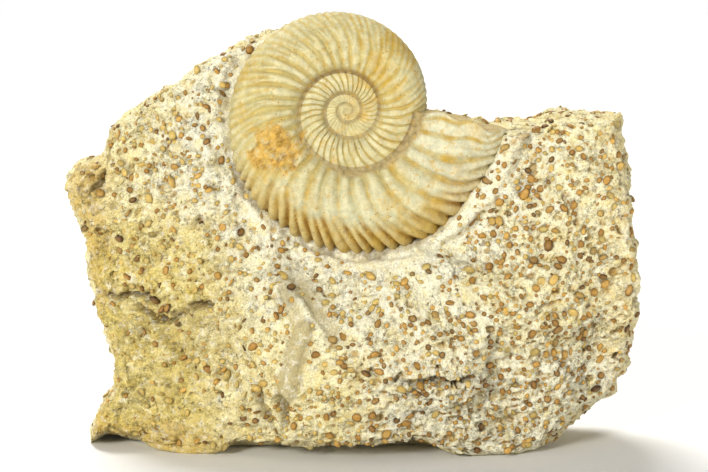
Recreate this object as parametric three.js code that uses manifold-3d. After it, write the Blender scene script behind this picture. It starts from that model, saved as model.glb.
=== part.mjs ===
// Ribbed ammonite prepared in relief on a free-standing block of oolitic limestone.
// Millimetres, +Z up. The prepared face looks along -Y, and the block stands on the flat sole at z = 0.
import * as THREE from 'three';
import { mergeVertices } from 'three/addons/utils/BufferGeometryUtils.js';
import Module from 'manifold-3d';

// Driving dimensions of the block
const DEPTH = 62;
const FRONT_INSET = { x: 3.5, z: 2 };
const BACK_INSET = { x: 8, z: 7 };
const BACK_RIM = 23;
const BACK_BULGE = 8;
const BACK_WEAR = 0.05;
const BACK_WAVE = 2;
const EDGE_WAVE = 1.4;
const FACE_WAVE = 0.7;
const CREST = 0.35;
const SOLE_RELIEF = 4;
const SOLE_START = { from: -18, to: 4 };
const GRID = { across: 34, up: 26, through: 9 };

// Driving dimensions of the shell
const SHELL_CENTRE = new THREE.Vector3(-1.2, -16, 74);
const SHELL_RADIUS = 35.6;
const WHORL_EXPANSION = 2.05;
const WHORLS = 4;
const SAMPLES_PER_WHORL = 126;
const RIBS_PER_WHORL = 42;
const RIB_HEIGHT = 0.014;
const RIB_SWEEP = 0.16;
const APERTURE_ANGLE = -0.087;
const SHELL_BACK = 3.5;
const SOCKET_CLEARANCE = 0.4;

// Outline of the block seen from the front, as (x, z). Each side starts at its left or lower corner.
const OUTLINE = {
  left: [[-57.5, 3], [-54, 9.5], [-52, 12], [-52.5, 18], [-55.5, 28.5], [-58.5, 40], [-58.5, 46.5],
    [-61.5, 54], [-62.75, 58.5]],
  top: [[-62.75, 58.5], [-60.5, 61.5], [-54.5, 63.5], [-52, 68.5], [-47.5, 73.5], [-35, 81.5], [-26.5, 87],
    [-16.5, 91], [-9, 92.5], [0, 92.5], [6, 90], [10.5, 85.5], [13.5, 79.5], [15.5, 74.5], [24, 73.5],
    [31.5, 71], [38.5, 71.5], [45, 73], [58, 73]],
  right: [[58, 14], [60.5, 17.5], [62.5, 30], [62.75, 40], [61, 51],
    [59.5, 64], [58, 73]],
  bottom: [[-57.5, 3], [-54.5, 5], [-46.5, 4], [-42, 1], [-36, 0], [-29.5, 0], [-26, 1.5], [-5, 1.5],
    [19, 2], [26, 0], [36.5, 0], [42, 2], [47.5, 7], [53, 12], [58, 14]],
};

// How far forward the prepared face stands, as (x, z, y), and how far each of these depths reaches.
const FACE_REACH = 5.5;
const FACE_RELIEF = [
  // rim and upper left shoulder
  [-57, 58, -3], [-48, 67, -7], [-37, 75, -11], [-25, 87, -12], [0, 90, -13],
  // left field, falling away to the edge
  [-32, 61, -15], [-48, 52, -9], [-54, 43, -5], [-41, 42, -14], [-26, 49, -17],
  // crevice, lower left recess and foot
  [-51, 32, -4], [-39, 27, -12], [-28, 34, -20], [-48, 17, -8], [-37, 11, -14], [-54, 6, -10],
  [-41, 2, -16], [-24, 17, -20], [-26, 3, -18],
  // ridge and ledge under the shell
  [-12, 14, -28], [-13, 27, -30], [-1, 42, -15], [1, 35, -27], [1, 25, -31], [2, 14, -30], [-1, 4, -25],
  [17, 36, -27], [17, 25, -30], [17, 14, -28], [17, 4, -23],
  // right field
  [30, 2, -20], [28, 35, -27], [24, 47, -17], [36, 50, -23], [44, 64, -22], [54, 69, -20], [35, 67, -19],
  [22, 71, -12], [53, 51, -22], [44, 34, -25], [55, 34, -18], [40, 19, -21], [54, 19, -11], [38, 7, -17],
];

// Depth of the outline itself, in the same way.
const OUTLINE_REACH = 7;
const OUTLINE_DEPTH = [
  [-62, 57, 5], [-58, 43, 4], [-53, 20, 3], [-56, 5, 0], [-36, 0, -15], [0, 2, -20], [28, 0, -17],
  [42, 2, -11], [60, 16, 0], [63, 38, 4], [58, 72, 0], [30, 71, -6], [0, 92, -6], [-30, 84, -5],
  [-50, 70, 0],
];

/** A weighted mean of the named depths, each counting over about `reach` millimetres. */
function blendedDepth(spots, x, z, reach) {
  let total = 0;
  let weights = 0;
  for (const [spotX, spotZ, depth] of spots) {
    const distance = ((x - spotX) ** 2 + (z - spotZ) ** 2) / reach ** 2;
    const weight = Math.exp(-distance / 2) + 1e-5 / (1 + distance);
    total += weight * depth;
    weights += weight;
  }
  return total / weights;
}

/** Slow rolling unevenness of a broken rock face, between about -1 and 1. */
function rolling(x, y, z) {
  return (Math.sin(0.31 * x + 0.17 * z + 1.3) * Math.sin(0.27 * z - 0.12 * y + 0.4)
    + 0.6 * Math.sin(0.53 * x - 0.41 * y + 0.36 * z) + 0.4 * Math.sin(0.71 * y + 0.22 * x - 0.5 * z + 2)) / 2;
}

/** A point on a polyline, at a share of its length. */
function pointOn(points, share) {
  const spans = points.slice(1).map(([x, z], i) => Math.hypot(x - points[i][0], z - points[i][1]));
  let rest = share * spans.reduce((sum, span) => sum + span, 0);
  let i = 0;
  while (i < spans.length - 1 && rest > spans[i]) {
    rest -= spans[i];
    i += 1;
  }
  const t = Math.min(rest / spans[i], 1);
  return [0, 1].map((k) => points[i][k] + t * (points[i + 1][k] - points[i][k]));
}

/** The same, with the polyline's corners worn away: the mean of three points a little apart. */
function pointAlong(points, share, wear) {
  const apart = 4 * share * (1 - share) * wear;
  const near = [-1, 0, 1].map((side) => pointOn(points, share + side * apart));
  return [0, 1].map((k) => (near[0][k] + near[1][k] + near[2][k]) / 3);
}

/** Coons patch: the outline's inside, with u to the right and v up. */
function outlinePoint(u, v, wear) {
  const corners = [OUTLINE.left[0], OUTLINE.right[0], OUTLINE.left.at(-1), OUTLINE.right.at(-1)];
  const [low, high] = [pointAlong(OUTLINE.bottom, u, wear), pointAlong(OUTLINE.top, u, wear)];
  const [left, right] = [pointAlong(OUTLINE.left, v, wear), pointAlong(OUTLINE.right, v, wear)];
  return [0, 1].map((k) => (1 - v) * low[k] + v * high[k] + (1 - u) * left[k] + u * right[k]
    - (1 - u) * (1 - v) * corners[0][k] - u * (1 - v) * corners[1][k]
    - (1 - u) * v * corners[2][k] - u * v * corners[3][k]);
}

/** The outline point drawn in from the sides by `share` of an inset. */
function insetPoint(u, v, inset, share, wear = 0) {
  const [x, z] = outlinePoint(u, v, wear);
  return [x - (2 * u - 1) * inset.x * share, z - (2 * v - 1) * inset.z * share];
}

function faceDepth(x, z) {
  return blendedDepth(FACE_RELIEF, x, z, FACE_REACH) + FACE_WAVE * rolling(x, 0, z);
}

function frontPoint(u, v) {
  const [x, z] = insetPoint(u, v, FRONT_INSET, 1);
  return [x, faceDepth(x, z), z];
}

function backPoint(u, v) {
  const [x, z] = insetPoint(u, v, BACK_INSET, 1, BACK_WEAR);
  const inside = Math.min(1, 16 * u * (1 - u) * v * (1 - v));
  return [x, BACK_RIM + inside ** 0.6 * (BACK_BULGE + BACK_WAVE * rolling(x / 2, 0, z / 2)), z];
}

/** The edge of the block: w runs from the front rim, over the outline, to the back rim. */
function sidePoint(u, v, w) {
  const outline = outlinePoint(u, v, 0);
  const crestDepth = blendedDepth(OUTLINE_DEPTH, ...outline, OUTLINE_REACH);
  if (w < CREST) {
    const turn = (w / CREST) * (Math.PI / 2);
    const [x, z] = insetPoint(u, v, FRONT_INSET, 1 - Math.sin(turn));
    const rimDepth = frontPoint(u, v)[1];
    return [x, rimDepth + (crestDepth - rimDepth) * (1 - Math.cos(turn)), z];
  }
  const turn = ((w - CREST) / (1 - CREST)) * (Math.PI / 2);
  const [x, z] = insetPoint(u, v, BACK_INSET, 1 - Math.cos(turn), BACK_WEAR * Math.sin(turn));
  const y = crestDepth + (BACK_RIM - crestDepth) * Math.sin(turn);
  const wave = Math.sin(2 * turn) * EDGE_WAVE * rolling(x, y, z);
  return [x + (2 * u - 1) * wave, y, z + (2 * v - 1) * wave];
}

/** Levels the underside into the sole that the block stands on. */
function levelSole([x, y, z], v) {
  if (v > 0) {
    return [x, y, Math.max(z, 0)];
  }
  const behind = THREE.MathUtils.smoothstep(y, SOLE_START.from, SOLE_START.to);
  return [x, y, Math.max(z - SOLE_RELIEF * behind, 0)];
}

/** A grid of points from a function of two shares, as loose triangles. */
function gridTriangles(columns, rows, pointAt) {
  const triangles = [];
  for (let i = 0; i < columns; i += 1) {
    for (let j = 0; j < rows; j += 1) {
      const [a, b] = [pointAt(i / columns, j / rows), pointAt((i + 1) / columns, j / rows)];
      const [c, d] = [pointAt((i + 1) / columns, (j + 1) / rows), pointAt(i / columns, (j + 1) / rows)];
      triangles.push(a, b, c, a, c, d);
    }
  }
  return triangles;
}

function blockTriangles() {
  const { across, up, through } = GRID;
  const triangles = [
    ...gridTriangles(across, up, (u, v) => levelSole(frontPoint(u, v), v)),
    ...gridTriangles(across, up, (u, v) => levelSole(backPoint(1 - u, v), v)),
    ...gridTriangles(across, through, (u, w) => levelSole(sidePoint(u, 1, w), 1)),
    ...gridTriangles(across, through, (u, w) => levelSole(sidePoint(1 - u, 0, w), 0)),
    ...gridTriangles(up, through, (v, w) => levelSole(sidePoint(0, v, w), v)),
    ...gridTriangles(up, through, (v, w) => levelSole(sidePoint(1, 1 - v, w), 1 - v)),
  ];
  const depths = triangles.map((point) => point[1]);
  const front = depths.reduce((a, b) => Math.min(a, b));
  const stretch = DEPTH / (depths.reduce((a, b) => Math.max(a, b)) - front);
  return triangles.map(([x, y, z]) => [x, (y - front) * stretch - DEPTH / 2, z]);
}

/** Venter radius a number of samples out from the innermost point, where it is zero. */
function whorlRadius(sample) {
  const last = WHORLS * SAMPLES_PER_WHORL;
  const growth = WHORL_EXPANSION ** ((sample - last) / SAMPLES_PER_WHORL);
  const start = WHORL_EXPANSION ** -WHORLS;
  return SHELL_RADIUS * (growth - start * (1 - sample / last));
}

// Whorl section from the umbilical seam over the flank: share of the venter radius, and height over the
// median plane as a share of it. FLANK belongs to every whorl, VENTER only to the outer one.
const SEAM_SHARE = 0.42;
const FLANK = [[SEAM_SHARE, 0.102], [0.5, 0.195], [0.64, 0.235], [0.78, 0.235], [0.86, 0.21]];
const VENTER = [[0.94, 0.15], [0.99, 0.07], [1, 0]];
const SHOULDER_SHARE = 0.9;
const BACK_SHARE = 0.93;

/**
 * The coiled shell as one closed body: a strip wound in a logarithmic spiral, each turn sharing its
 * seam with the outer edge of the turn inside it, closed by the aperture wall and a flat back.
 */
function shellBody(ribHeight, clearance) {
  const last = WHORLS * SAMPLES_PER_WHORL;
  const outerStart = last - SAMPLES_PER_WHORL;
  const flankEnd = FLANK.length - 1;
  const section = [...FLANK, ...VENTER];
  const positions = [];
  const rows = [];

  const addPoint = (sample, share, height) => {
    const radius = whorlRadius(sample);
    const step = (2 * Math.PI) / SAMPLES_PER_WHORL;
    const across = (share - SEAM_SHARE) / (1 - SEAM_SHARE);
    const sweep = RIB_SWEEP * Math.sin(Math.PI * across);
    const rib = Math.cos(RIBS_PER_WHORL * (sample * step + sweep)) * ribHeight * radius;
    const angle = APERTURE_ANGLE + (sample - last) * step;
    const out = radius * share + (share > SHOULDER_SHARE ? rib + clearance : 0);
    const flankLift = height * radius + (share > SHOULDER_SHARE ? 0 : rib) + clearance;
    const lift = height === null ? -SHELL_BACK - clearance : flankLift;
    const along = sample === last ? clearance : 0;
    positions.push([
      SHELL_CENTRE.x + out * Math.cos(angle) - along * Math.sin(angle),
      SHELL_CENTRE.y - lift,
      SHELL_CENTRE.z + out * Math.sin(angle) + along * Math.cos(angle),
    ]);
    return positions.length - 1;
  };

  const centre = addPoint(0, 0, 0);
  for (let i = 0; i <= last; i += 1) {
    const row = [i < SAMPLES_PER_WHORL ? centre : rows[i - SAMPLES_PER_WHORL][flankEnd]];
    for (let j = 1; j < section.length; j += 1) {
      if (j <= flankEnd || i >= outerStart) {
        row.push(i === 0 ? centre : addPoint(i, ...section[j]));
      }
    }
    if (i >= outerStart) {
      row.push(addPoint(i, BACK_SHARE, null));
    }
    rows.push(row);
  }

  const triangles = [];
  const addTriangle = (a, b, c) => {
    if (a !== b && b !== c && a !== c) {
      triangles.push(positions[a], positions[b], positions[c]);
    }
  };
  for (let i = 0; i < last; i += 1) {
    const shared = Math.min(rows[i].length, rows[i + 1].length);
    for (let j = 0; j < shared - 1; j += 1) {
      addTriangle(rows[i][j], rows[i][j + 1], rows[i + 1][j + 1]);
      addTriangle(rows[i][j], rows[i + 1][j + 1], rows[i + 1][j]);
    }
  }

  const fillPolygon = (loop, flat) => {
    const contour = loop.map((index) => flat(positions[index]));
    const forward = THREE.ShapeUtils.isClockWise(contour) ? -1 : 1;
    for (const [a, b, c] of THREE.ShapeUtils.triangulateShape(contour, [])) {
      const sides = forward > 0 ? [a, b, c] : [a, c, b];
      addTriangle(...sides.map((k) => loop[k]));
    }
  };
  const inner = rows[outerStart].slice(flankEnd);
  const apertureLoop = [...rows[last], ...inner.slice(1).reverse()];
  const fromAxis = (x, z) => Math.hypot(x - SHELL_CENTRE.x, z - SHELL_CENTRE.z);
  fillPolygon(apertureLoop, ([x, y, z]) => new THREE.Vector2(fromAxis(x, z), -y));
  const backLoop = rows.slice(outerStart).map((row) => row.at(-1)).reverse();
  fillPolygon(backLoop, ([x, , z]) => new THREE.Vector2(x, z));
  return triangles;
}

/** One indexed geometry with its shared corners merged. */
function mergedGeometry(triangles) {
  const loose = new THREE.BufferGeometry();
  loose.setAttribute('position', new THREE.Float32BufferAttribute(triangles.flat(), 3));
  return mergeVertices(loose, 1e-4);
}

const wasm = await Module();
wasm.setup();

function solidFrom(triangles) {
  const geometry = mergedGeometry(triangles);
  return new wasm.Manifold(new wasm.Mesh({
    numProp: 3,
    vertProperties: geometry.attributes.position.array,
    triVerts: Uint32Array.from(geometry.index.array),
  }));
}

function geometryFrom(solid) {
  const mesh = solid.getMesh();
  const geometry = new THREE.BufferGeometry();
  geometry.setAttribute('position', new THREE.BufferAttribute(new Float32Array(mesh.vertProperties), 3));
  geometry.setIndex(new THREE.BufferAttribute(new Uint32Array(mesh.triVerts), 1));
  geometry.computeVertexNormals();
  return geometry;
}

function namedMesh(name, solid, finish) {
  const mesh = new THREE.Mesh(geometryFrom(solid), new THREE.MeshStandardMaterial(finish));
  mesh.name = name;
  return mesh;
}

const shell = solidFrom(shellBody(RIB_HEIGHT, 0));
const socket = solidFrom(shellBody(0, SOCKET_CLEARANCE + RIB_HEIGHT * SHELL_RADIUS));
const block = solidFrom(blockTriangles()).subtract(socket);

const fossil = new THREE.Group();
fossil.add(
  namedMesh('oolitic_limestone_block', block, { color: 0xd9c58f, roughness: 0.95, metalness: 0 }),
  namedMesh('ammonite_shell', shell, { color: 0xdac690, roughness: 0.7, metalness: 0 }),
);

export default fossil;
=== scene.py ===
"""A ribbed ammonite in relief on a broken block of iron-oolitic limestone, built around its frame.

Shapes are worked out in millimetres, in the frame's own axes: +X to the right of the fossil face, -Y out of
it and +Z up. Each mesh is turned to metres as it is made.
"""

import logging
import math
from dataclasses import dataclass, field
from enum import Enum
from itertools import product

import bpy
import numpy as np
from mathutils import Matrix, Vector


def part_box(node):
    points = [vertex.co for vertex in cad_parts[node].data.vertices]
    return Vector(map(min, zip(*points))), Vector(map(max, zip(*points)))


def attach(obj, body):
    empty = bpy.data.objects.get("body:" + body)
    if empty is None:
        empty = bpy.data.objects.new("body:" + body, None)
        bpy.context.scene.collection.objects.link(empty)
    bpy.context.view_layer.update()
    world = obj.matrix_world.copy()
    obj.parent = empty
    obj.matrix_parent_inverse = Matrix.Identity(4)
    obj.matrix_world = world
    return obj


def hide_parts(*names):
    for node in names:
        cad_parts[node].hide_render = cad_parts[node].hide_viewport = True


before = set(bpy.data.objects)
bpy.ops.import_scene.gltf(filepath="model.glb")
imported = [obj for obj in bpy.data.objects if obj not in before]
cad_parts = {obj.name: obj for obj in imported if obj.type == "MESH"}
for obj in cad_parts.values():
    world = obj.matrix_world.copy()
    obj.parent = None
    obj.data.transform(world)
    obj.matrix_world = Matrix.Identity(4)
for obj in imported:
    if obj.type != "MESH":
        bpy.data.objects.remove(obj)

Array = np.ndarray
Colour = tuple[float, float, float]
Path = tuple[tuple[float, float], ...]
Spots = tuple[tuple[float, float, float], ...]
Socket = bpy.types.NodeSocket

LOG = logging.getLogger("ammonite_fossil")
MM = 0.001
WELD_STEPS_PER_MM = 1e4
SOLE_CLEAR = (0.4, 1.6)
FULL_TURN = 2 * math.pi
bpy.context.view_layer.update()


# --------------------------------------------------------------------------- numbers and noise


def smoothstep(low: float, high: float, value: Array) -> Array:
    """A smooth rise from 0 at `low` to 1 at `high`: 3t^2 - 2t^3 of the clamped share t."""
    share = np.clip((value - low) / (high - low), 0.0, 1.0)
    return share * share * (3 - 2 * share)


def bell(value: Array, middle: float, width: float) -> Array:
    """A bell curve, 1 at `middle` and 1/e a `width` away: e to the minus square of the scaled distance."""
    return np.exp(-(((value - middle) / width) ** 2))


def mix(first: Array, second: Array, share: Array) -> Array:
    """Straight blend from `first` to `second`."""
    return first * (1 - share) + second * share


def blend(first: Array, second: Array, share: Array) -> Array:
    """Straight blend from one colour or place to another, by a share for each point."""
    share = np.clip(share, 0, 1)[..., None]
    return first * (1 - share) + second * share


def linear(red: int, green: int, blue: int) -> Array:
    """A display colour of three 0 to 255 levels as linear light."""
    level = np.array([red, green, blue], float) / 255
    return np.where(level <= 0.04045, level / 12.92, ((level + 0.055) / 1.055) ** 2.4)


def lattice_value(cell: Array, seed: int) -> Array:
    """A repeatable random number from 0 to 1 for each whole-number cell, by mixing its indices' bits.

    Args:
        cell: whole-number cells, three numbers in the last axis.
        seed: which pattern of randomness.

    Returns:
        One number per cell.
    """
    parts = cell.astype(np.int64).astype(np.uint32)
    mixed = parts[..., 0] * np.uint32(0x8DA6B343)
    mixed = mixed ^ (parts[..., 1] * np.uint32(0xD8163841))
    mixed = mixed ^ (parts[..., 2] * np.uint32(0xCB1AB31F))
    mixed = mixed + np.uint32(seed * 7919 + 13)
    mixed = (mixed ^ (mixed >> np.uint32(15))) * np.uint32(0x2C1B3C6D)
    mixed = (mixed ^ (mixed >> np.uint32(12))) * np.uint32(0x297A2D39)
    mixed = mixed ^ (mixed >> np.uint32(15))
    return mixed.astype(np.float64) / 0xFFFFFFFF


def value_noise(points: Array, size: float, seed: int) -> Array:
    """Smooth noise from -1 to 1 with features `size` across: cell corner values, blended by smooth shares.

    Args:
        points: positions, three numbers in the last axis.
        size: the feature size, in the positions' unit.
        seed: which pattern of randomness.

    Returns:
        One number per point.
    """
    scaled = points / size
    cell = np.floor(scaled)
    share = scaled - cell
    share = share * share * (3 - 2 * share)
    total = np.zeros(points.shape[:-1])
    for corner in product((0, 1), repeat=3):
        weight = np.prod(np.where(np.array(corner, bool), share, 1 - share), axis=-1)
        total += weight * lattice_value(cell + np.array(corner), seed)
    return 2 * total - 1


def layered_noise(points: Array, size: float, octaves: int, seed: int, keep: float = 0.5) -> Array:
    """Noise summed over halving sizes, each layer `keep` times as strong, scaled back to about -1 to 1.

    Args:
        points: positions in millimetres, three numbers in the last axis.
        size: the largest feature in millimetres.
        octaves: how many layers.
        seed: which pattern.
        keep: strength of each layer against the one before.

    Returns:
        One number per point.
    """
    total = np.zeros(points.shape[:-1])
    strength = 1.0
    whole = 0.0
    for layer in range(octaves):
        total += strength * value_noise(points, size / 2**layer, seed + layer)
        whole += strength
        strength *= keep
    return total / whole


def segment_distance(x: Array, z: Array, path: Path) -> Array:
    """Distance in the face plane from each point to a line of straight stretches.

    Args:
        x: how far right each place is, in millimetres.
        z: how high each place is, in millimetres.
        path: the line's corners in the face plane.

    Returns:
        One distance per point, in millimetres.
    """
    nearest = np.full(np.shape(x), np.inf)
    for (x0, z0), (x1, z1) in zip(path[:-1], path[1:]):
        along = np.array([x1 - x0, z1 - z0])
        share = ((x - x0) * along[0] + (z - z0) * along[1]) / (along @ along)
        share = np.clip(share, 0, 1)
        nearest = np.minimum(nearest, np.hypot(x - x0 - share * along[0], z - z0 - share * along[1]))
    return nearest


def blended_depth(spots: Array, x: Array, z: Array, reach: float) -> Array:
    """A weighted mean of named depths, each spot counting by a bell curve about `reach` wide.

    Args:
        spots: named places, each as x, z and depth.
        x: how far right each place is, in millimetres.
        z: how high each place is, in millimetres.
        reach: width of each spot's bell, in millimetres.

    Returns:
        One depth per place.
    """
    total = np.zeros(np.shape(x))
    weights = np.zeros(np.shape(x))
    for spot_x, spot_z, depth in spots:
        distance = ((x - spot_x) ** 2 + (z - spot_z) ** 2) / reach**2
        weight = np.exp(-distance / 2) + 1e-5 / (1 + distance)
        total += weight * depth
        weights += weight
    return total / weights


def above_sole(points: Array) -> Array:
    """How freely each point may move: not at all on the sole, and fully a little above it."""
    return smoothstep(*SOLE_CLEAR, points[:, 2])


# --------------------------------------------------------------------------- meshes


def distinct(threes: Array) -> Array:
    """The triangles whose three corners are three different points."""
    first, second, third = threes.T
    return threes[(first != second) & (second != third) & (first != third)]


def split_folded(quads: Array) -> tuple[Array, Array]:
    """Turns each four-sided face that has one side folded to a point into a triangle.

    Args:
        quads: corner numbers, four to a face.

    Returns:
        The triangles, and the faces that stay four-sided.
    """
    threes = []
    for a, b in ((0, 1), (1, 2), (2, 3), (3, 0)):
        folded = quads[:, a] == quads[:, b]
        threes.append(np.delete(quads[folded], b, axis=1))
        quads = quads[~folded]
    return np.concatenate(threes), quads


@dataclass
class SurfaceMesh:
    """Points and faces under construction, in millimetres."""

    points: Array
    faces: list[Array] = field(default_factory=list)
    layers: dict[str, Array] = field(default_factory=dict)

    def vertex_normals(self) -> Array:
        """Area-weighted mean of the normals of the faces round each point.

        Returns:
            One direction of length 1 per point.
        """
        normals = np.zeros_like(self.points)
        for group in self.faces:
            corners = self.points[group]
            facing = np.cross(corners[:, 2] - corners[:, 0], corners[:, -1] - corners[:, 1])
            if group.shape[1] == 3:
                facing = np.cross(corners[:, 1] - corners[:, 0], corners[:, 2] - corners[:, 0])
            for corner in range(group.shape[1]):
                for axis in range(3):
                    normals[:, axis] += np.bincount(
                        group[:, corner], facing[:, axis], minlength=len(self.points)
                    )
        length = np.linalg.norm(normals, axis=1, keepdims=True)
        return normals / np.maximum(length, 1e-12)

    def welded(self) -> "SurfaceMesh":
        """The same surface with coincident points made one and collapsed faces dropped.

        Returns:
            The new mesh, without layers.
        """
        keys = np.round(self.points * WELD_STEPS_PER_MM).astype(np.int64)
        _, first, renumber = np.unique(keys, axis=0, return_index=True, return_inverse=True)
        renumber = renumber.reshape(-1)
        threes, fours = [], []
        for group in self.faces:
            group = renumber[group]
            if group.shape[1] == 4:
                folded, group = split_folded(group)
                threes.append(folded)
                fours.append(group)
            else:
                threes.append(group)
        return SurfaceMesh(self.points[first], [distinct(np.concatenate(threes)), np.concatenate(fours)])

    def to_object(self, name: str, flat_caps: tuple[Array, ...] = ()) -> bpy.types.Object:
        """Makes the scene object, in metres, at the origin.

        Args:
            name: the piece's name.
            flat_caps: loops of point numbers, each closed by one many-sided face.

        Returns:
            The new object, smooth shaded, with a point attribute for each layer.
        """
        corners = [group.reshape(-1) for group in self.faces] + [np.asarray(loop) for loop in flat_caps]
        sizes = [np.full(len(group), group.shape[1]) for group in self.faces]
        sizes.append(np.array([len(loop) for loop in flat_caps], int))
        corner_ids = np.concatenate(corners).astype(np.int32)
        face_sizes = np.concatenate(sizes).astype(np.int32)
        starts = np.concatenate([[0], np.cumsum(face_sizes)[:-1]]).astype(np.int32)
        mesh = bpy.data.meshes.new(name)
        mesh.vertices.add(len(self.points))
        mesh.vertices.foreach_set("co", (self.points * MM).astype(np.float32).ravel())
        mesh.loops.add(len(corner_ids))
        mesh.loops.foreach_set("vertex_index", corner_ids)
        mesh.polygons.add(len(face_sizes))
        mesh.polygons.foreach_set("loop_start", starts)
        mesh.update(calc_edges=True)
        mesh.validate()
        mesh.shade_smooth()
        for label, values in self.layers.items():
            if values.ndim == 2:
                layer = mesh.attributes.new(label, "FLOAT_COLOR", "POINT")
                rgba = np.concatenate([values, np.ones((len(values), 1))], axis=1)
                layer.data.foreach_set("color", rgba.astype(np.float32).ravel())
            else:
                layer = mesh.attributes.new(label, "FLOAT", "POINT")
                layer.data.foreach_set("value", values.astype(np.float32))
        piece = bpy.data.objects.new(name, mesh)
        bpy.context.scene.collection.objects.link(piece)
        return piece


def grid_faces(numbers: Array) -> Array:
    """Four-sided faces between neighbouring entries of a grid of point numbers.

    Args:
        numbers: the grid's point numbers.

    Returns:
        Four corner numbers for each face.
    """
    return np.stack(
        [numbers[:-1, :-1], numbers[1:, :-1], numbers[1:, 1:], numbers[:-1, 1:]], axis=-1
    ).reshape(-1, 4)


# --------------------------------------------------------------------------- colours


WHITE_STONE = linear(240, 236, 212)
CREAM_STONE = linear(238, 227, 178)
YELLOW_STONE = linear(218, 199, 120)
OCHRE_STONE = linear(205, 174, 94)
OLIVE_RECESS_SHADE = linear(164, 146, 86)
GREY_STONE = linear(190, 176, 132)
DARK_GRIT_AND_SHADE = linear(104, 82, 44)
BLEACHED = tuple(linear(238, 235, 220))
OCHRE_GRAIN = tuple(linear(198, 166, 84))
PORE_BROWN = tuple(linear(92, 76, 36))
STAIN_TINT = (0.93, 0.85, 0.6)
SAND_SPECK = tuple(linear(124, 102, 54))
PALE_CALCITE_AND_HIGHLIGHT = linear(204, 196, 156)
CALCITE_FLANK = linear(190, 176, 116)
CALCITE_GREY = linear(187, 185, 150)
CALCITE_TOP = linear(195, 181, 126)
OCHRE_AND_FURROW_SHADE = linear(184, 150, 54)
DEEP_OCHRE_AND_SHADE = linear(134, 94, 20)
SEAM_SHADE_AND_GRIME = linear(146, 112, 56)
SEAM_SHADOW_AND_GRIME_LINE = linear(104, 76, 34)
GOLDEN_CALCITE = tuple(linear(192, 156, 70))
CRYSTAL_ORANGE = linear(216, 172, 82)
SEAM_FILL = linear(186, 166, 118)
OOID_TONES = np.array([linear(86, 56, 22), linear(128, 88, 34), linear(166, 121, 48), linear(202, 160, 80)])
SOCKET_STAIN_AND_SHADE = linear(178, 142, 80)


# --------------------------------------------------------------------------- materials


class Slot(Enum):
    """The material slots."""

    LIMESTONE = "limestone"
    SHELL = "ammonite_calcite"
    OOID = "iron_ooid"


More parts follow.
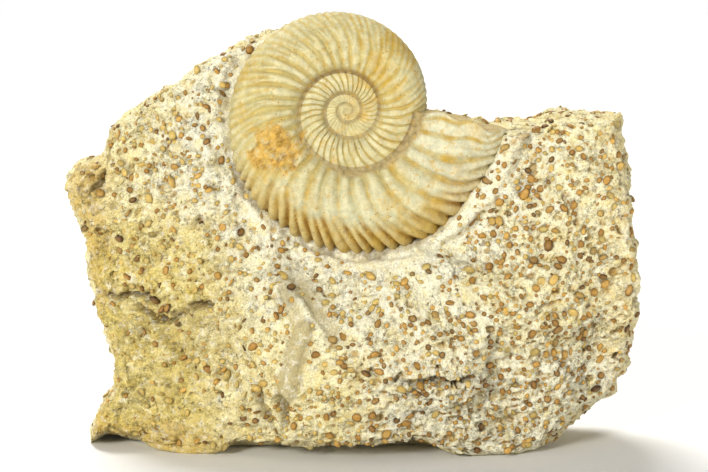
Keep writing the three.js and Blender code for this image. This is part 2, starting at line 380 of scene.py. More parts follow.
class NodeSheet:
    """A material's node tree, with short calls for the nodes that the finishes share."""

    def __init__(self, name: str) -> None:
        """Starts an empty node material with a Principled shader.

        Args:
            name: the material's name.
        """
        self.material = bpy.data.materials.new(name)
        self.material.use_nodes = True
        self.tree = self.material.node_tree
        self.tree.nodes.clear()
        self.shader = self.tree.nodes.new("ShaderNodeBsdfPrincipled")
        output = self.tree.nodes.new("ShaderNodeOutputMaterial")
        self.tree.links.new(self.shader.outputs["BSDF"], output.inputs["Surface"])
        self.place = self.tree.nodes.new("ShaderNodeTexCoord").outputs["Object"]

    def feed(self, socket: Socket, value: object) -> None:
        """Links a socket to another socket, or sets its value.

        Args:
            socket: the input to set.
            value: another socket, a number or a colour.
        """
        if isinstance(value, Socket):
            self.tree.links.new(value, socket)
        else:
            socket.default_value = value

    def attribute(self, name: str, colour: bool = False) -> Socket:
        """A point attribute of the mesh, as a number or a colour.

        Args:
            name: the attribute's name.
            colour: whether it is a colour.

        Returns:
            The attribute's socket.
        """
        node = self.tree.nodes.new("ShaderNodeAttribute")
        node.attribute_name = name
        return node.outputs["Color" if colour else "Fac"]

    def noise(self, size_mm: float, detail: float = 3, roughness: float = 0.55) -> Socket:
        """Noise on object coordinates with features of about `size_mm`.

        Args:
            size_mm: feature size.
            detail: how many finer layers.
            roughness: strength of the finer layers.

        Returns:
            A number from 0 to 1.
        """
        node = self.tree.nodes.new("ShaderNodeTexNoise")
        self.feed(node.inputs["Vector"], self.place)
        node.inputs["Scale"].default_value = 1 / (size_mm * MM)
        node.inputs["Detail"].default_value = detail
        node.inputs["Roughness"].default_value = roughness
        return node.outputs["Fac"]

    def grains(self, size_mm: float) -> Socket:
        """Distance to the nearest of scattered grain centres about `size_mm` apart.

        Args:
            size_mm: distance between neighbouring centres.

        Returns:
            The distance as a share of that spacing.
        """
        node = self.tree.nodes.new("ShaderNodeTexVoronoi")
        self.feed(node.inputs["Vector"], self.place)
        node.inputs["Scale"].default_value = 1 / (size_mm * MM)
        return node.outputs["Distance"]

    def spread(self, value: object, low: float, high: float, out_low: float, out_high: float) -> Socket:
        """Stretches `low`..`high` smoothly over `out_low`..`out_high`, clamped.

        Args:
            value: the number to stretch.
            low: the value that gives `out_low`.
            high: the value that gives `out_high`.
            out_low: the result at `low`.
            out_high: the result at `high`.

        Returns:
            The stretched number.
        """
        node = self.tree.nodes.new("ShaderNodeMapRange")
        node.interpolation_type = "SMOOTHSTEP"
        self.feed(node.inputs["Value"], value)
        ends = {"From Min": low, "From Max": high, "To Min": out_low, "To Max": out_high}
        for label, number in ends.items():
            node.inputs[label].default_value = number
        return node.outputs["Result"]

    def maths(self, operation: str, first: object, second: object) -> Socket:
        """One step of arithmetic.

        Args:
            operation: which step.
            first: the first number, colour or socket.
            second: the second number, colour or socket.

        Returns:
            The result.
        """
        node = self.tree.nodes.new("ShaderNodeMath")
        node.operation = operation
        self.feed(node.inputs[0], first)
        self.feed(node.inputs[1], second)
        return node.outputs[0]

    def blend(self, mode: str, share: object, first: object, second: object) -> Socket:
        """Two colours mixed, in one of the named blend modes.

        Args:
            mode: how the second colour acts on the first.
            share: how strongly, from 0 to 1.
            first: the first number, colour or socket.
            second: the second number, colour or socket.

        Returns:
            The mixed colour.
        """
        node = self.tree.nodes.new("ShaderNodeMix")
        node.data_type = "RGBA"
        node.blend_type = mode
        colours = [socket for socket in node.inputs if socket.type == "RGBA"]
        self.feed(node.inputs["Factor"], share)
        self.feed(colours[0], first)
        self.feed(colours[1], second)
        return [socket for socket in node.outputs if socket.type == "RGBA"][0]

    def times(self, first: object, second: object) -> Socket:
        """The product of two numbers."""
        return self.maths("MULTIPLY", first, second)

    def over(self, colour: Socket, share: object, paint: Colour) -> Socket:
        """A colour with another laid over it by a share."""
        return self.blend("MIX", share, colour, (*paint, 1.0))

    def clouds(self, size_mm: float, detail: float, roughness: float, edge: tuple[float, float],
               strength: float) -> Socket:
        """Patches of noise, from 0 where it is at the first edge value to `strength` at the second."""
        return self.spread(self.noise(size_mm, detail, roughness), *edge, 0.0, strength)

    def grey(self, value: object) -> Socket:
        """A number as a grey colour.

        Args:
            value: how light, from 0 to 1.

        Returns:
            The colour.
        """
        node = self.tree.nodes.new("ShaderNodeCombineColor")
        for channel in node.inputs:
            self.feed(channel, value)
        return node.outputs[0]

    def bump(self, height: object, depth_mm: float) -> Socket:
        """Fine relief of `depth_mm` from a height between 0 and 1.

        Args:
            height: the relief, from 0 to 1.
            depth_mm: how deep it is.

        Returns:
            The bent surface direction.
        """
        node = self.tree.nodes.new("ShaderNodeBump")
        node.inputs["Strength"].default_value = 1.0
        node.inputs["Distance"].default_value = depth_mm * MM
        self.feed(node.inputs["Height"], height)
        return node.outputs["Normal"]

    def surface(self, colour: Socket, roughness: object, specular: float, relief: Socket) -> None:
        """Feeds the shader its colour, roughness, specular level and fine relief.

        Args:
            colour: the base colour.
            roughness: a number or a socket.
            specular: the specular level.
            relief: the bent surface direction.
        """
        self.feed(self.shader.inputs["Base Color"], colour)
        self.feed(self.shader.inputs["Roughness"], roughness)
        self.shader.inputs["Specular IOR Level"].default_value = specular
        self.feed(self.shader.inputs["Normal"], relief)


@dataclass(frozen=True)
class LimestoneFinish:
    """Granular, dull limestone: its colour layer broken up by grain, sand specks and yellow staining."""

    grain_mm: float = 0.45
    grain_shade: tuple[float, float] = (0.64, 1.14)
    stain_mm: float = 3.2
    ochre_mm: float = 1.3
    bleach_mm: float = 1.9
    pore_mm: float = 0.75
    crack_mm: float = 2.6
    crack_width: float = 0.016
    speck_mm: float = 0.9
    roughness: float = 0.93
    specular: float = 0.25
    relief_mm: float = 0.3

    def material(self) -> bpy.types.Material:
        """Builds the node material.

        Returns:
            The material, ready for a piece.
        """
        sheet = NodeSheet("oolitic_limestone")
        tint = sheet.attribute("tint", colour=True)
        coarse = sheet.attribute("coarse")
        rough_share = sheet.spread(coarse, 0.0, 1.0, 0.3, 1.0)
        grain = sheet.noise(self.grain_mm, 4, 0.7)
        stain = sheet.times(sheet.clouds(self.stain_mm, 5, 0.65, (0.46, 0.66), 0.75), rough_share)
        colour = sheet.blend("MULTIPLY", stain, tint, (*STAIN_TINT, 1.0))
        ochre = sheet.times(sheet.clouds(self.ochre_mm, 4, 0.7, (0.56, 0.7), 0.7), rough_share)
        colour = sheet.over(colour, ochre, OCHRE_GRAIN)
        colour = sheet.over(colour, sheet.clouds(self.bleach_mm, 5, 0.7, (0.5, 0.66), 0.5), BLEACHED)
        shade = sheet.spread(grain, 0.3, 0.7, *self.grain_shade)
        colour = sheet.blend("MULTIPLY", 0.9, colour, sheet.grey(shade))
        pores = sheet.times(sheet.clouds(self.pore_mm, 3, 0.6, (0.38, 0.29), 0.75), coarse)
        colour = sheet.over(colour, pores, PORE_BROWN)
        hairline = self.hairlines(sheet, coarse)
        colour = sheet.over(colour, hairline, PORE_BROWN)
        sandy = sheet.clouds(self.speck_mm * 2.2, 2, 0.55, (0.5, 0.58), 0.8)
        specks = sheet.times(sheet.spread(sheet.grains(self.speck_mm), 0.05, 0.17, 1.0, 0.0), sandy)
        colour = sheet.over(colour, specks, SAND_SPECK)
        height = sheet.maths("ADD", sheet.times(grain, 0.5), sheet.noise(self.grain_mm * 2.6, 4, 0.65))
        height = sheet.maths("SUBTRACT", height, sheet.times(pores, 0.6))
        height = sheet.maths("SUBTRACT", height, sheet.times(hairline, 0.8))
        height = sheet.times(height, sheet.spread(coarse, 0.0, 1.0, 0.35, 1.0))
        sheet.surface(colour, self.roughness, self.specular, sheet.bump(height, self.relief_mm))
        return sheet.material

    def hairlines(self, sheet: NodeSheet, coarse: Socket) -> Socket:
        """Fine broken cracks, where a noise crosses its middle value.

        Args:
            sheet: the node sheet to build in.
            coarse: how rough the surface is, from 0 to 1.

        Returns:
            How strongly a crack shows, from 0 to 1.
        """
        middle = sheet.maths("SUBTRACT", sheet.noise(self.crack_mm, 4, 0.75), 0.5)
        line = sheet.spread(sheet.maths("ABSOLUTE", middle, 0.0), 0.0, self.crack_width, 0.6, 0.0)
        line = sheet.times(line, sheet.clouds(4.0, 3, 0.55, (0.44, 0.56), 1.0))
        return sheet.times(line, sheet.spread(coarse, 0.5, 1.0, 0.2, 1.0))


@dataclass(frozen=True)
class ShellFinish:
    """Satin calcite: its colour layer with faint clouding, dark specks and a sugary patch."""

    cloud_mm: float = 1.7
    golden_mm: float = 1.4
    grain_mm: float = 0.35
    speck_mm: float = 0.8
    roughness: float = 0.62
    rough_patch: float = 0.9
    specular: float = 0.35
    relief_mm: float = 0.2

    def material(self) -> bpy.types.Material:
        """Builds the node material.

        Returns:
            The material, ready for a piece.
        """
        sheet = NodeSheet("ammonite_calcite")
        tint = sheet.attribute("tint", colour=True)
        coarse = sheet.attribute("coarse")
        cloud = sheet.spread(sheet.noise(self.cloud_mm, 5, 0.65), 0.32, 0.68, 0.85, 1.13)
        colour = sheet.blend("MULTIPLY", 1.0, tint, sheet.grey(cloud))
        colour = sheet.over(colour, sheet.clouds(self.golden_mm, 5, 0.75, (0.52, 0.64), 0.65), GOLDEN_CALCITE)
        grain = sheet.noise(self.grain_mm, 4, 0.7)
        shade = sheet.spread(grain, 0.3, 0.7, 0.8, 1.1)
        colour = sheet.blend("MULTIPLY", sheet.spread(coarse, 0.0, 1.0, 0.6, 1.0), colour, sheet.grey(shade))
        dirty = sheet.clouds(2.8, 4, 0.55, (0.5, 0.62), 0.85)
        specks = sheet.times(sheet.spread(sheet.grains(self.speck_mm), 0.12, 0.25, 1.0, 0.0), dirty)
        colour = sheet.over(colour, specks, SAND_SPECK)
        roughness = sheet.spread(coarse, 0.0, 1.0, self.roughness, self.rough_patch)
        height = sheet.times(grain, sheet.spread(coarse, 0.0, 1.0, 0.45, 1.0))
        sheet.surface(colour, roughness, self.specular, sheet.bump(height, self.relief_mm))
        return sheet.material


@dataclass(frozen=True)
class OoidFinish:
    """Iron ooid: brown to tan by grain; its tint is darker low on the sides as painted shade, and paler on
    the crown, partly wear and partly painted highlight.
    """

    blotch_mm: float = 0.5
    pit_mm: float = 0.3
    roughness: float = 0.5
    specular: float = 0.4
    relief_mm: float = 0.05

    def material(self) -> bpy.types.Material:
        """Builds the node material.

        Returns:
            The material, ready for a piece.
        """
        sheet = NodeSheet("iron_ooid")
        tint = sheet.attribute("tint", colour=True)
        blotch = sheet.spread(sheet.noise(self.blotch_mm, 3, 0.6), 0.3, 0.7, 0.78, 1.15)
        colour = sheet.blend("MULTIPLY", 1.0, tint, sheet.grey(blotch))
        relief = sheet.bump(sheet.noise(self.pit_mm, 3), self.relief_mm)
        sheet.surface(colour, self.roughness, self.specular, relief)
        return sheet.material


# --------------------------------------------------------------------------- the ammonite


@dataclass
class Ammonite:
    """The coiled shell, seen from one side: a whorl section carried out along a logarithmic spiral.

    The centre and the radius come from the shell's CAD box, through the shares that the coil gives.
    """

    low: Vector
    high: Vector
    expansion: float = 2.05
    whorls: float = 4.5
    samples: int = 620
    radius_share: float = 0.5865
    centre_shares: tuple[float, float] = (0.99, 0.5854)
    aperture_angle: float = 0.0
    seam_share: float = 0.405
    shoulder_share: float = 0.83
    rib_height: float = 0.034
    rib_middle: float = 0.6
    rib_lean: float = 0.245
    rib_waver: float = 0.75
    outer_ribs: float = 30.5
    flank_columns: int = 26
    venter_columns: int = 9
    back_columns: int = 4
    back_share: float = 0.94
    buried_depth: float = 3.5
    end_slant: float = 0.13
    end_rows: int = 12
    lap_reach: float = 2.6
    venter_lift: float = 1.2
    pressed_in: float = 0.02
    patch: tuple[float, float] = (-15.8, 66.6)
    patch_size: tuple[float, float] = (5.4, 5.2)

    def __post_init__(self) -> None:
        """Places the coil in its CAD box, by the shares of the box that its radius and centre take up."""
        self.radius = self.radius_share * (self.high.x - self.low.x) / MM
        self.centre_x = self.high.x / MM - self.centre_shares[0] * self.radius
        self.centre_z = self.high.z / MM - self.centre_shares[1] * self.radius
        self.back_depth = self.high.y / MM
        self.middle_depth = self.back_depth - self.buried_depth
        self.last = int(self.whorls * self.samples)

    def bearing(self, x: Array, z: Array) -> Array:
        """The angle of each place as seen from the coil's centre, counted from +X towards +Z."""
        return np.arctan2(z - self.centre_z, x - self.centre_x)

    def turns_before_end(self, x: Array, z: Array) -> Array:
        """How far round the outer whorl each place lies, from 0 just past the slanting end to 1 at it.

        Args:
            x: how far right each place is, in millimetres.
            z: how high each place is, in millimetres.

        Returns:
            One share of a turn for each place.
        """
        angle = self.bearing(x, z)
        out = np.hypot(x - self.centre_x, z - self.centre_z) / self.radius
        slant = self.end_slant * smoothstep(0.45, 0.95, out) * bell(angle, 0.0, 0.3)
        return ((angle + slant - self.aperture_angle) % FULL_TURN) / FULL_TURN

    def edge_distance(self, x: Array, z: Array) -> Array:
        """Distance outside (positive) or inside (negative) the shell's outline in the face plane.

        Args:
            x: how far right each place is, in millimetres.
            z: how high each place is, in millimetres.

        Returns:
            One distance for each place, in millimetres.
        """
        radius = np.hypot(x - self.centre_x, z - self.centre_z)
        share = self.turns_before_end(x, z)
        outside = radius - self.radius * self.expansion ** (share - 1)
        past_end = radius * share * FULL_TURN
        beside_end = (share < 0.12) & (radius < self.radius) & (outside > 0)
        return np.where(beside_end, np.minimum(outside, past_end), outside)

    def lap(self, x: Array, z: Array) -> Array:
        """How far inside the outline the rock reaches over the venter: only beside the broken end."""
        return self.lap_reach * smoothstep(0.83, 0.92, self.turns_before_end(x, z))

    def whorl_radius(self, row: Array) -> Array:
        """Venter radius: the spiral's growth, eased to zero at the innermost point."""
        growth = self.expansion ** ((row - self.last) / self.samples)
        return self.radius * (growth - self.expansion**-self.whorls * (1 - row / self.last))

    @staticmethod
    def section_height(share: Array) -> Array:
        """Half-thickness as a share of the venter radius: steep wall, full flank, round shoulder, venter.

        Args:
            share: radius as a share of the venter radius.

        Returns:
            The half-thickness over the venter radius.
        """
        shares = [0.405, 0.42, 0.445, 0.48, 0.54, 0.62, 0.71, 0.79, 0.85, 0.90, 0.95, 0.98, 1.0]
        heights = [0.095, 0.125, 0.165, 0.196, 0.221, 0.236, 0.239, 0.230, 0.208, 0.176, 0.125, 0.075, 0.0]
        return np.interp(share, shares, heights)

    def rib_phase(self, turn: Array) -> Array:
        """Ribs counted from the aperture back: wide apart on the last whorl, closer on the inner ones.

        Args:
            turn: turns from the broken end, 0 there and falling inwards.

        Returns:
            The count as an angle, a full turn for each rib.
        """
        back = -turn
        crowding = self.outer_ribs * back + 4.5 * back**2 - 1.1 * back**3
        wander = 0.16 * np.sin(9.1 * back + 1.0) + 0.1 * np.sin(23.7 * back)
        return FULL_TURN * (crowding + wander)

    def ribs(self, turn: Array, share: Array) -> Array:
        """Rib relief from 0 in a furrow to 1 on a crest.

        Broad ribs stand between narrower furrows: 1 less a bell curve about each furrow's middle. They lean
        forward as they cross the flank, and on the last whorl a second furrow opens along each rib where the
        shoulder begins, so that every rib parts into two.

        Args:
            turn: turns from the broken end, 0 there and falling inwards.
            share: radius as a share of the venter radius.

        Returns:
            The relief at each place.
        """
        across = np.clip((share - self.seam_share) / (1 - self.seam_share), 0, 1)
        lean = self.rib_lean * (0.3 * across + 0.7 * across**2) - 0.03 * np.sin(math.pi * across)
        back_turn = turn - lean / FULL_TURN
        phase = self.rib_phase(back_turn)
        waver = value_noise(np.stack([back_turn * 50, share * 7, 0 * share], -1), 1.0, 17)
        phase = phase + self.rib_waver * waver
        number = np.floor(phase / FULL_TURN + 0.5)
        own = lattice_value(np.stack([number, number * 0, number * 0], -1), 5)
        local = np.abs(phase - number * FULL_TURN)
        inner = smoothstep(-0.97, -1.02, turn)
        furrow_width = mix(mix(1.5, 0.8, smoothstep(0.3, 0.95, across)), 0.8, inner)
        furrow = bell(local, math.pi, furrow_width)
        opening = smoothstep(0.0, 0.3, across - 0.46 - 0.24 * (own - 0.5)) * (1 - inner)
        second = opening * bell(local, 0.0, 0.72) * (0.6 + 0.7 * (own - 0.3))
        return 1 - np.maximum(furrow * (0.85 + 0.5 * (own - 0.5)), np.clip(second, 0, 1))

    def build(self) -> tuple[SurfaceMesh, tuple[Array, ...]]:
        """Winds the strip, shares each turn's seam with the turn inside it and closes the end and the back.

        Returns:
            The mesh with its layers, and the loop of the flat back.
        """
        turn_rows = np.arange(self.last + 1)
        outer_start = self.last - self.samples
        flank = self.seam_share + (self.shoulder_share - self.seam_share) * (
            np.linspace(0, 1, self.flank_columns + 1) ** 1.12
        )
        bend = np.linspace(0, 1, self.venter_columns + 1)[1:]
        venter = self.shoulder_share + (1 - self.shoulder_share) * np.sin(bend * math.pi / 2)
        shares = np.concatenate([flank, venter])
        rows, cols = np.meshgrid(turn_rows, shares, indexing="ij")
        points, layers = self.surface(rows, cols)

        back = np.linspace(0, 1, self.back_columns + 1)[1:]
        outer_rows = turn_rows[outer_start:]
        rows_b, cols_b = np.meshgrid(outer_rows, back, indexing="ij")
        back_points, back_layers = self.back_edge(rows_b, cols_b)

        flank_end = self.flank_columns
        grid = np.arange(rows.size).reshape(rows.shape)
        grid[self.samples:, 0] = grid[: -self.samples, flank_end]
        grid[: self.samples, 0] = grid[0, 0]
        grid[0, :] = grid[0, 0]
        back_grid = rows.size + np.arange(rows_b.size).reshape(rows_b.shape)
        outer = np.concatenate([grid[outer_start:], back_grid], axis=1)
        all_points = np.concatenate([points.reshape(-1, 3), back_points.reshape(-1, 3)])
        mesh = SurfaceMesh(all_points)
        mesh.faces.append(grid_faces(grid[:, : flank_end + 1]))
        mesh.faces.append(grid_faces(outer[:, flank_end:]))
        end_loop = outer[-1]
        start_loop = outer[0, flank_end:]
        cap_points, cap_faces, back_line = self.broken_end(all_points, end_loop, start_loop)
        mesh.points = np.concatenate([all_points, cap_points])
        mesh.faces.append(cap_faces)
        for label, values in layers.items():
            flat = values.reshape(rows.size, -1).squeeze()
            edge = back_layers[label].reshape(rows_b.size, -1).squeeze()
            cap = np.broadcast_to(SEAM_FILL if flat.ndim == 2 else 1.0, (len(cap_points), *flat.shape[1:]))
            mesh.layers[label] = np.concatenate([flat, edge, cap])
        back_loop = np.concatenate([outer[:, -1], back_line])[::-1]
        return self.compact(mesh, (back_loop,))

    @staticmethod
    def compact(mesh: SurfaceMesh, loops: tuple[Array, ...]) -> tuple[SurfaceMesh, tuple[Array, ...]]:
        """Drops faces that folded up at the centre, and points that no face uses.

        Args:
            mesh: the shell as wound.
            loops: loops of point numbers that stay.

        Returns:
            The smaller mesh, and the loops in its numbers.
        """
        folded, kept = split_folded(np.concatenate(mesh.faces))
        thin = distinct(folded)
        used = np.unique(np.concatenate([thin.ravel(), kept.ravel(), *loops]))
        renumber = np.zeros(len(mesh.points), int)
        renumber[used] = np.arange(len(used))
        layers = {label: values[used] for label, values in mesh.layers.items()}
        tidy = SurfaceMesh(mesh.points[used], [renumber[thin], renumber[kept]], layers)
        return tidy, tuple(renumber[loop] for loop in loops)

    def surface(self, row: Array, share: Array) -> tuple[Array, dict[str, Array]]:
        """Points and layers of the ribbed flank and venter.

        Args:
            row: sample number along the spiral.
            share: radius as a share of the venter radius.

        Returns:
            Positions in millimetres, and the tint and coarseness layers.
        """
        radius = self.whorl_radius(row)
        turn = (row - self.last) / self.samples
        angle = self.spiral_angle(turn, share)
        relief = self.ribs(turn, share)
        rise = smoothstep(self.seam_share, self.seam_share + 0.07, share)
        lift = rise * (relief - self.rib_middle) * self.rib_height * radius * self.rib_strength(turn, share)
        on_venter = smoothstep(0.84, 0.97, share)
        out = radius * share + lift * on_venter * self.venter_lift
        height = self.section_height(share) * radius + lift * (1 - on_venter)

        x, z = self.in_plane(out, angle)
        flat_place = np.stack([x, self.middle_depth - height, z], axis=-1)
        fill = self.seam_fill(turn, share, flat_place)
        patch = np.hypot((x - self.patch[0]) / self.patch_size[0], (z - self.patch[1]) / self.patch_size[1])
        ragged = 0.85 * layered_noise(flat_place, 3.4, 4, 21, 0.6)
        sugary = smoothstep(1.05, 0.8, patch + ragged)
        plain = self.section_height(share) * radius
        grains = layered_noise(flat_place, 1.2, 3, 31, 0.8)
        height = mix(height, plain + 0.05 + 0.75 * grains, sugary * rise)
        height = mix(height, plain + 0.3 + 0.35 * layered_noise(flat_place, 0.9, 3, 41), fill)
        height += (0.24 + 0.22 * self.worn_top(turn)) * layered_noise(flat_place, 2.2, 4, 51, 0.65) * rise
        heart = smoothstep(2.6, 1.5, radius)
        height = mix(height, 0.5 + 0.3 * layered_noise(flat_place, 0.8, 2, 61), 0.8 * heart)
        points = np.stack([x, self.middle_depth - height, z], axis=-1)
        layers = self.paint(turn, share, relief, sugary, fill, heart, points)
        return points, layers

    @staticmethod
    def worn_top(turn: Array) -> Array:
        """Where the last whorl's flank is worn: over the top of the coil."""
        return smoothstep(-0.99, -0.92, turn) * smoothstep(-0.70, -0.76, turn)

    def seam_fill(self, turn: Array, share: Array, place: Array) -> Array:
        """Where sandy rock still fills the umbilical seam of the last half whorl.

        Args:
            turn: turns from the broken end, 0 there and falling inwards.
            share: radius as a share of the venter radius.
            place: positions in millimetres.

        Returns:
            1 where rock fills the seam, 0 elsewhere.
        """
        reach = 0.05 * smoothstep(-0.46, -0.2, turn) + 0.035 * layered_noise(place, 3.0, 4, 71)
        reach = reach + 0.02 * smoothstep(-0.1, 0.0, turn)
        edge = (self.seam_share + reach) - share
        return smoothstep(-0.005, 0.012, edge) * smoothstep(-0.47, -0.36, turn)

    def paint(
        self, turn: Array, share: Array, relief: Array, sugary: Array, fill: Array, heart: Array, place: Array
    ) -> dict[str, Array]:
        """Colour by place: yellow left, grey below, ochre furrows darkened with painted shade, crests
        lightened with painted highlight, painted shade and grime along the seam, orange patch, sandy fill.

        Args:
            turn: turns from the broken end, 0 there and falling inwards.
            share: radius as a share of the venter radius.
            relief: rib relief, 0 in a furrow and 1 on a crest.
            sugary: 1 in the crystalline patch.
            fill: 1 in the seam's filling.
            heart: 1 at the worn centre.
            place: positions in millimetres.

        Returns:
            The tint and coarse layers.
        """
        cloud = layered_noise(place, 9.0, 3, 81)
        fine = layered_noise(place, 2.6, 4, 82, 0.6)
        low = smoothstep(66, 52, place[..., 2])
        top = smoothstep(80, 92, place[..., 2])
        outer = smoothstep(-1.0, -0.97, turn)
        tint = blend(CALCITE_FLANK, CALCITE_TOP, top)
        tint = blend(tint, CALCITE_GREY, outer * np.maximum(low, smoothstep(8, 16, place[..., 0])) * 0.9)
        # rib crests paler: partly paler calcite, partly painted highlight on the crests
        tint = blend(tint, PALE_CALCITE_AND_HIGHLIGHT, 0.7 * smoothstep(0.5, 1.0, relief) + 0.7 * fine)
        # furrows darker and more ochre: partly ochre stain, partly painted shade in the furrows
        furrow = smoothstep(0.7, 0.0, relief) * (0.45 + 0.6 * cloud + 0.9 * fine)
        tint = blend(tint, OCHRE_AND_FURROW_SHADE, furrow * (1 - 0.4 * low))
        shoulder = smoothstep(0.72, 0.86, share + 0.07 * fine) * low * outer
        tint = blend(tint, OCHRE_AND_FURROW_SHADE, 0.7 * shoulder)
        # paler crests on the lower shoulder: painted highlight
        tint = blend(tint, PALE_CALCITE_AND_HIGHLIGHT, 0.3 * shoulder * smoothstep(0.7, 1.0, relief))
        # deep furrows of the lower shoulder darkened further: painted shade over ochre stain
        deep = shoulder * smoothstep(0.72, 0.25, relief)
        blot = smoothstep(-0.55, 0.0, layered_noise(place, 4.2, 2, 91))
        tint = blend(tint, DEEP_OCHRE_AND_SHADE, deep * blot)
        tint = blend(tint, OCHRE_AND_FURROW_SHADE, 0.6 * smoothstep(0.05, 0.6, cloud + 0.7 * fine))
        away = share - self.seam_share
        # the seam's painted shade is strongest at the top and on the right
        shaded_side = np.maximum(smoothstep(72, 82, place[..., 2]), smoothstep(6, 12, place[..., 0]))
        shaded_side = mix(0.35, 1.0, shaded_side)
        # brown on the umbilical wall above the seam: painted shade where the wall faces away from the light,
        # with some grime
        wall = 0.62 * smoothstep(0.06, 0.0, away) * shaded_side * mix(0.7, 1.0, smoothstep(-1.9, -1.3, turn))
        # thin dark line along each seam: painted shadow with some grime
        line = smoothstep(0.02, 0.003, away)
        line = np.maximum(line, smoothstep(0.812, 0.828, share) * (turn < -1) * (share < 0.84))
        tint = blend(tint, SEAM_SHADE_AND_GRIME, wall * (1 - fill))
        tint = blend(tint, SEAM_SHADOW_AND_GRIME_LINE, 0.8 * line * mix(0.5, 1.0, shaded_side) * (1 - fill) * (1 - heart))
        orange = blend(CRYSTAL_ORANGE, DEEP_OCHRE_AND_SHADE, 0.22 + 1.6 * layered_noise(place, 1.1, 3, 101, 0.8))
        glint = smoothstep(0.0, 0.5, layered_noise(place, 0.9, 3, 103, 0.7))
        tint = blend(tint, blend(orange, PALE_CALCITE_AND_HIGHLIGHT, 0.75 * glint), 0.9 * sugary)
        sandy = blend(SEAM_FILL, DARK_GRIT_AND_SHADE, 0.1 + 0.6 * layered_noise(place, 0.8, 2, 111))
        tint = blend(tint, sandy, fill)
        ending = smoothstep(-0.16, -0.06, turn) * (1 - fill)
        tint = blend(tint, WHITE_STONE, 0.25 * ending * smoothstep(0.2, 0.6, relief))
        coarse = np.clip(np.maximum.reduce([sugary, fill, 0.6 * heart, 0.4 * ending, 0.6 * top]), 0, 1)
        return {"tint": tint, "coarse": coarse}

    def back_edge(self, row: Array, share: Array) -> tuple[Array, dict[str, Array]]:
        """The venter carried on round to the flat back, the ribs fading as they go.

        Args:
            row: sample number along the spiral.
            share: 0 at the venter and 1 at the flat back.

        Returns:
            Positions in millimetres, and the tint and coarse layers.
        """
        radius = self.whorl_radius(row)
        turn = (row - self.last) / self.samples
        angle = self.spiral_angle(turn, np.ones_like(share))
        relief = self.ribs(turn, np.ones_like(share))
        lift = (relief - self.rib_middle) * self.rib_height * radius * self.venter_lift * (1 - share**2)
        lift = lift * self.rib_strength(turn, np.ones_like(share))
        out = radius * mix(1.0, self.back_share, share**2) + lift
        depth = mix(self.middle_depth, self.back_depth, share)
        x, z = self.in_plane(out, angle)
        place = np.stack([x, depth, z], axis=-1)
        # paler crests round the venter: painted highlight
        tint = blend(CALCITE_FLANK, PALE_CALCITE_AND_HIGHLIGHT, smoothstep(0.15, 0.85, relief))
        tint = blend(tint, OCHRE_AND_FURROW_SHADE, 0.4 + 0.2 * layered_noise(place, 4.0, 3, 121))
        return place, {"tint": tint, "coarse": 0.3 * np.ones(row.shape)}

    def broken_end(self, points: Array, end_loop: Array, start_loop: Array) -> tuple[Array, Array, Array]:
        """Closes the broken end with a rough surface between the last section and the inner whorl's back.

        Args:
            points: all points so far.
            end_loop: point numbers of the last section, from the seam round to the back.
            start_loop: point numbers of the inner whorl's section at the same angle, from the same seam.

        Returns:
            The new points, their faces, and the numbers along the back between the two sections.
        """
        spare = len(end_loop) - len(start_loop)
        base = len(points)
        first, second = points[start_loop[-1]], points[end_loop[-1]]
        line = blend(first, second, np.linspace(0, 1, spare + 1)[1:-1])
        line_ids = base + np.arange(len(line))
        lower = np.concatenate([start_loop, line_ids, end_loop[-1:]])
        known = np.concatenate([points, line])
        shares = np.linspace(0, 1, self.end_rows + 1)[1:-1]
        inner = blend(known[end_loop][:, None], known[lower][:, None], np.tile(shares, (len(end_loop), 1)))
        sway = np.sin(shares * math.pi)[None, :] * np.sin(np.linspace(0, math.pi, len(end_loop)))[:, None]
        inner[..., 2] += sway * (0.5 + 0.9 * layered_noise(inner, 2.5, 3, 131))
        inner_ids = base + len(line) + np.arange(inner[..., 0].size).reshape(inner.shape[:2])
        grid = np.concatenate([end_loop[:, None], inner_ids, lower[:, None]], axis=1)
        new_points = np.concatenate([line, inner.reshape(-1, 3)])
        return new_points, grid_faces(grid[::-1]), line_ids[::-1]

    def rib_strength(self, turn: Array, share: Array) -> Array:
        """How high the ribs stand: weak at mid flank below, worn at the top, faint by the broken end.

        The second whorl's ribs are sharp and the ones inside it low. On the last whorl they all but fade at
        the venter on the left and the top, and are strongest there below.

        Args:
            turn: turns from the broken end, 0 there and falling inwards.
            share: radius as a share of the venter radius.

        Returns:
            A factor for the rib height.
        """
        across = (share - self.seam_share) / (1 - self.seam_share)
        below = smoothstep(-0.52, -0.42, turn) * smoothstep(-0.08, -0.18, turn)
        dip = bell(across, 0.5, 0.2)
        ending = smoothstep(-0.055, -0.025, turn)
        ending = ending + smoothstep(-0.10, -0.04, turn) * smoothstep(0.75, 0.6, share)
        strength = (1 - 0.6 * below * dip) * (1 - 0.5 * self.worn_top(turn))
        strength = strength * (1 - 0.8 * np.clip(ending, 0, 1))
        venter = smoothstep(0.76, 0.92, share) * (turn > -1.02)
        strength = strength * (1 - 0.65 * venter * smoothstep(-0.40, -0.52, turn))
        strength = strength * (1 + 0.35 * bell(turn, -0.55, 0.13) * (1 - venter))
        strength = strength * (1 + 0.5 * venter * bell(turn, -0.25, 0.13))
        strength = strength * (1 + 0.1 * smoothstep(-1.0, -1.06, turn) - 0.6 * smoothstep(-1.85, -2.15, turn))
        return strength

    def spiral_angle(self, turn: Array, share: Array) -> Array:
        """The angle of a place on the spiral; the broken end slants back towards the venter."""
        slant = self.end_slant * smoothstep(0.45, 0.95, share) + 0.02 * np.sin(31 * share)
        return self.aperture_angle + turn * FULL_TURN - slant * smoothstep(-0.06, 0.0, turn)

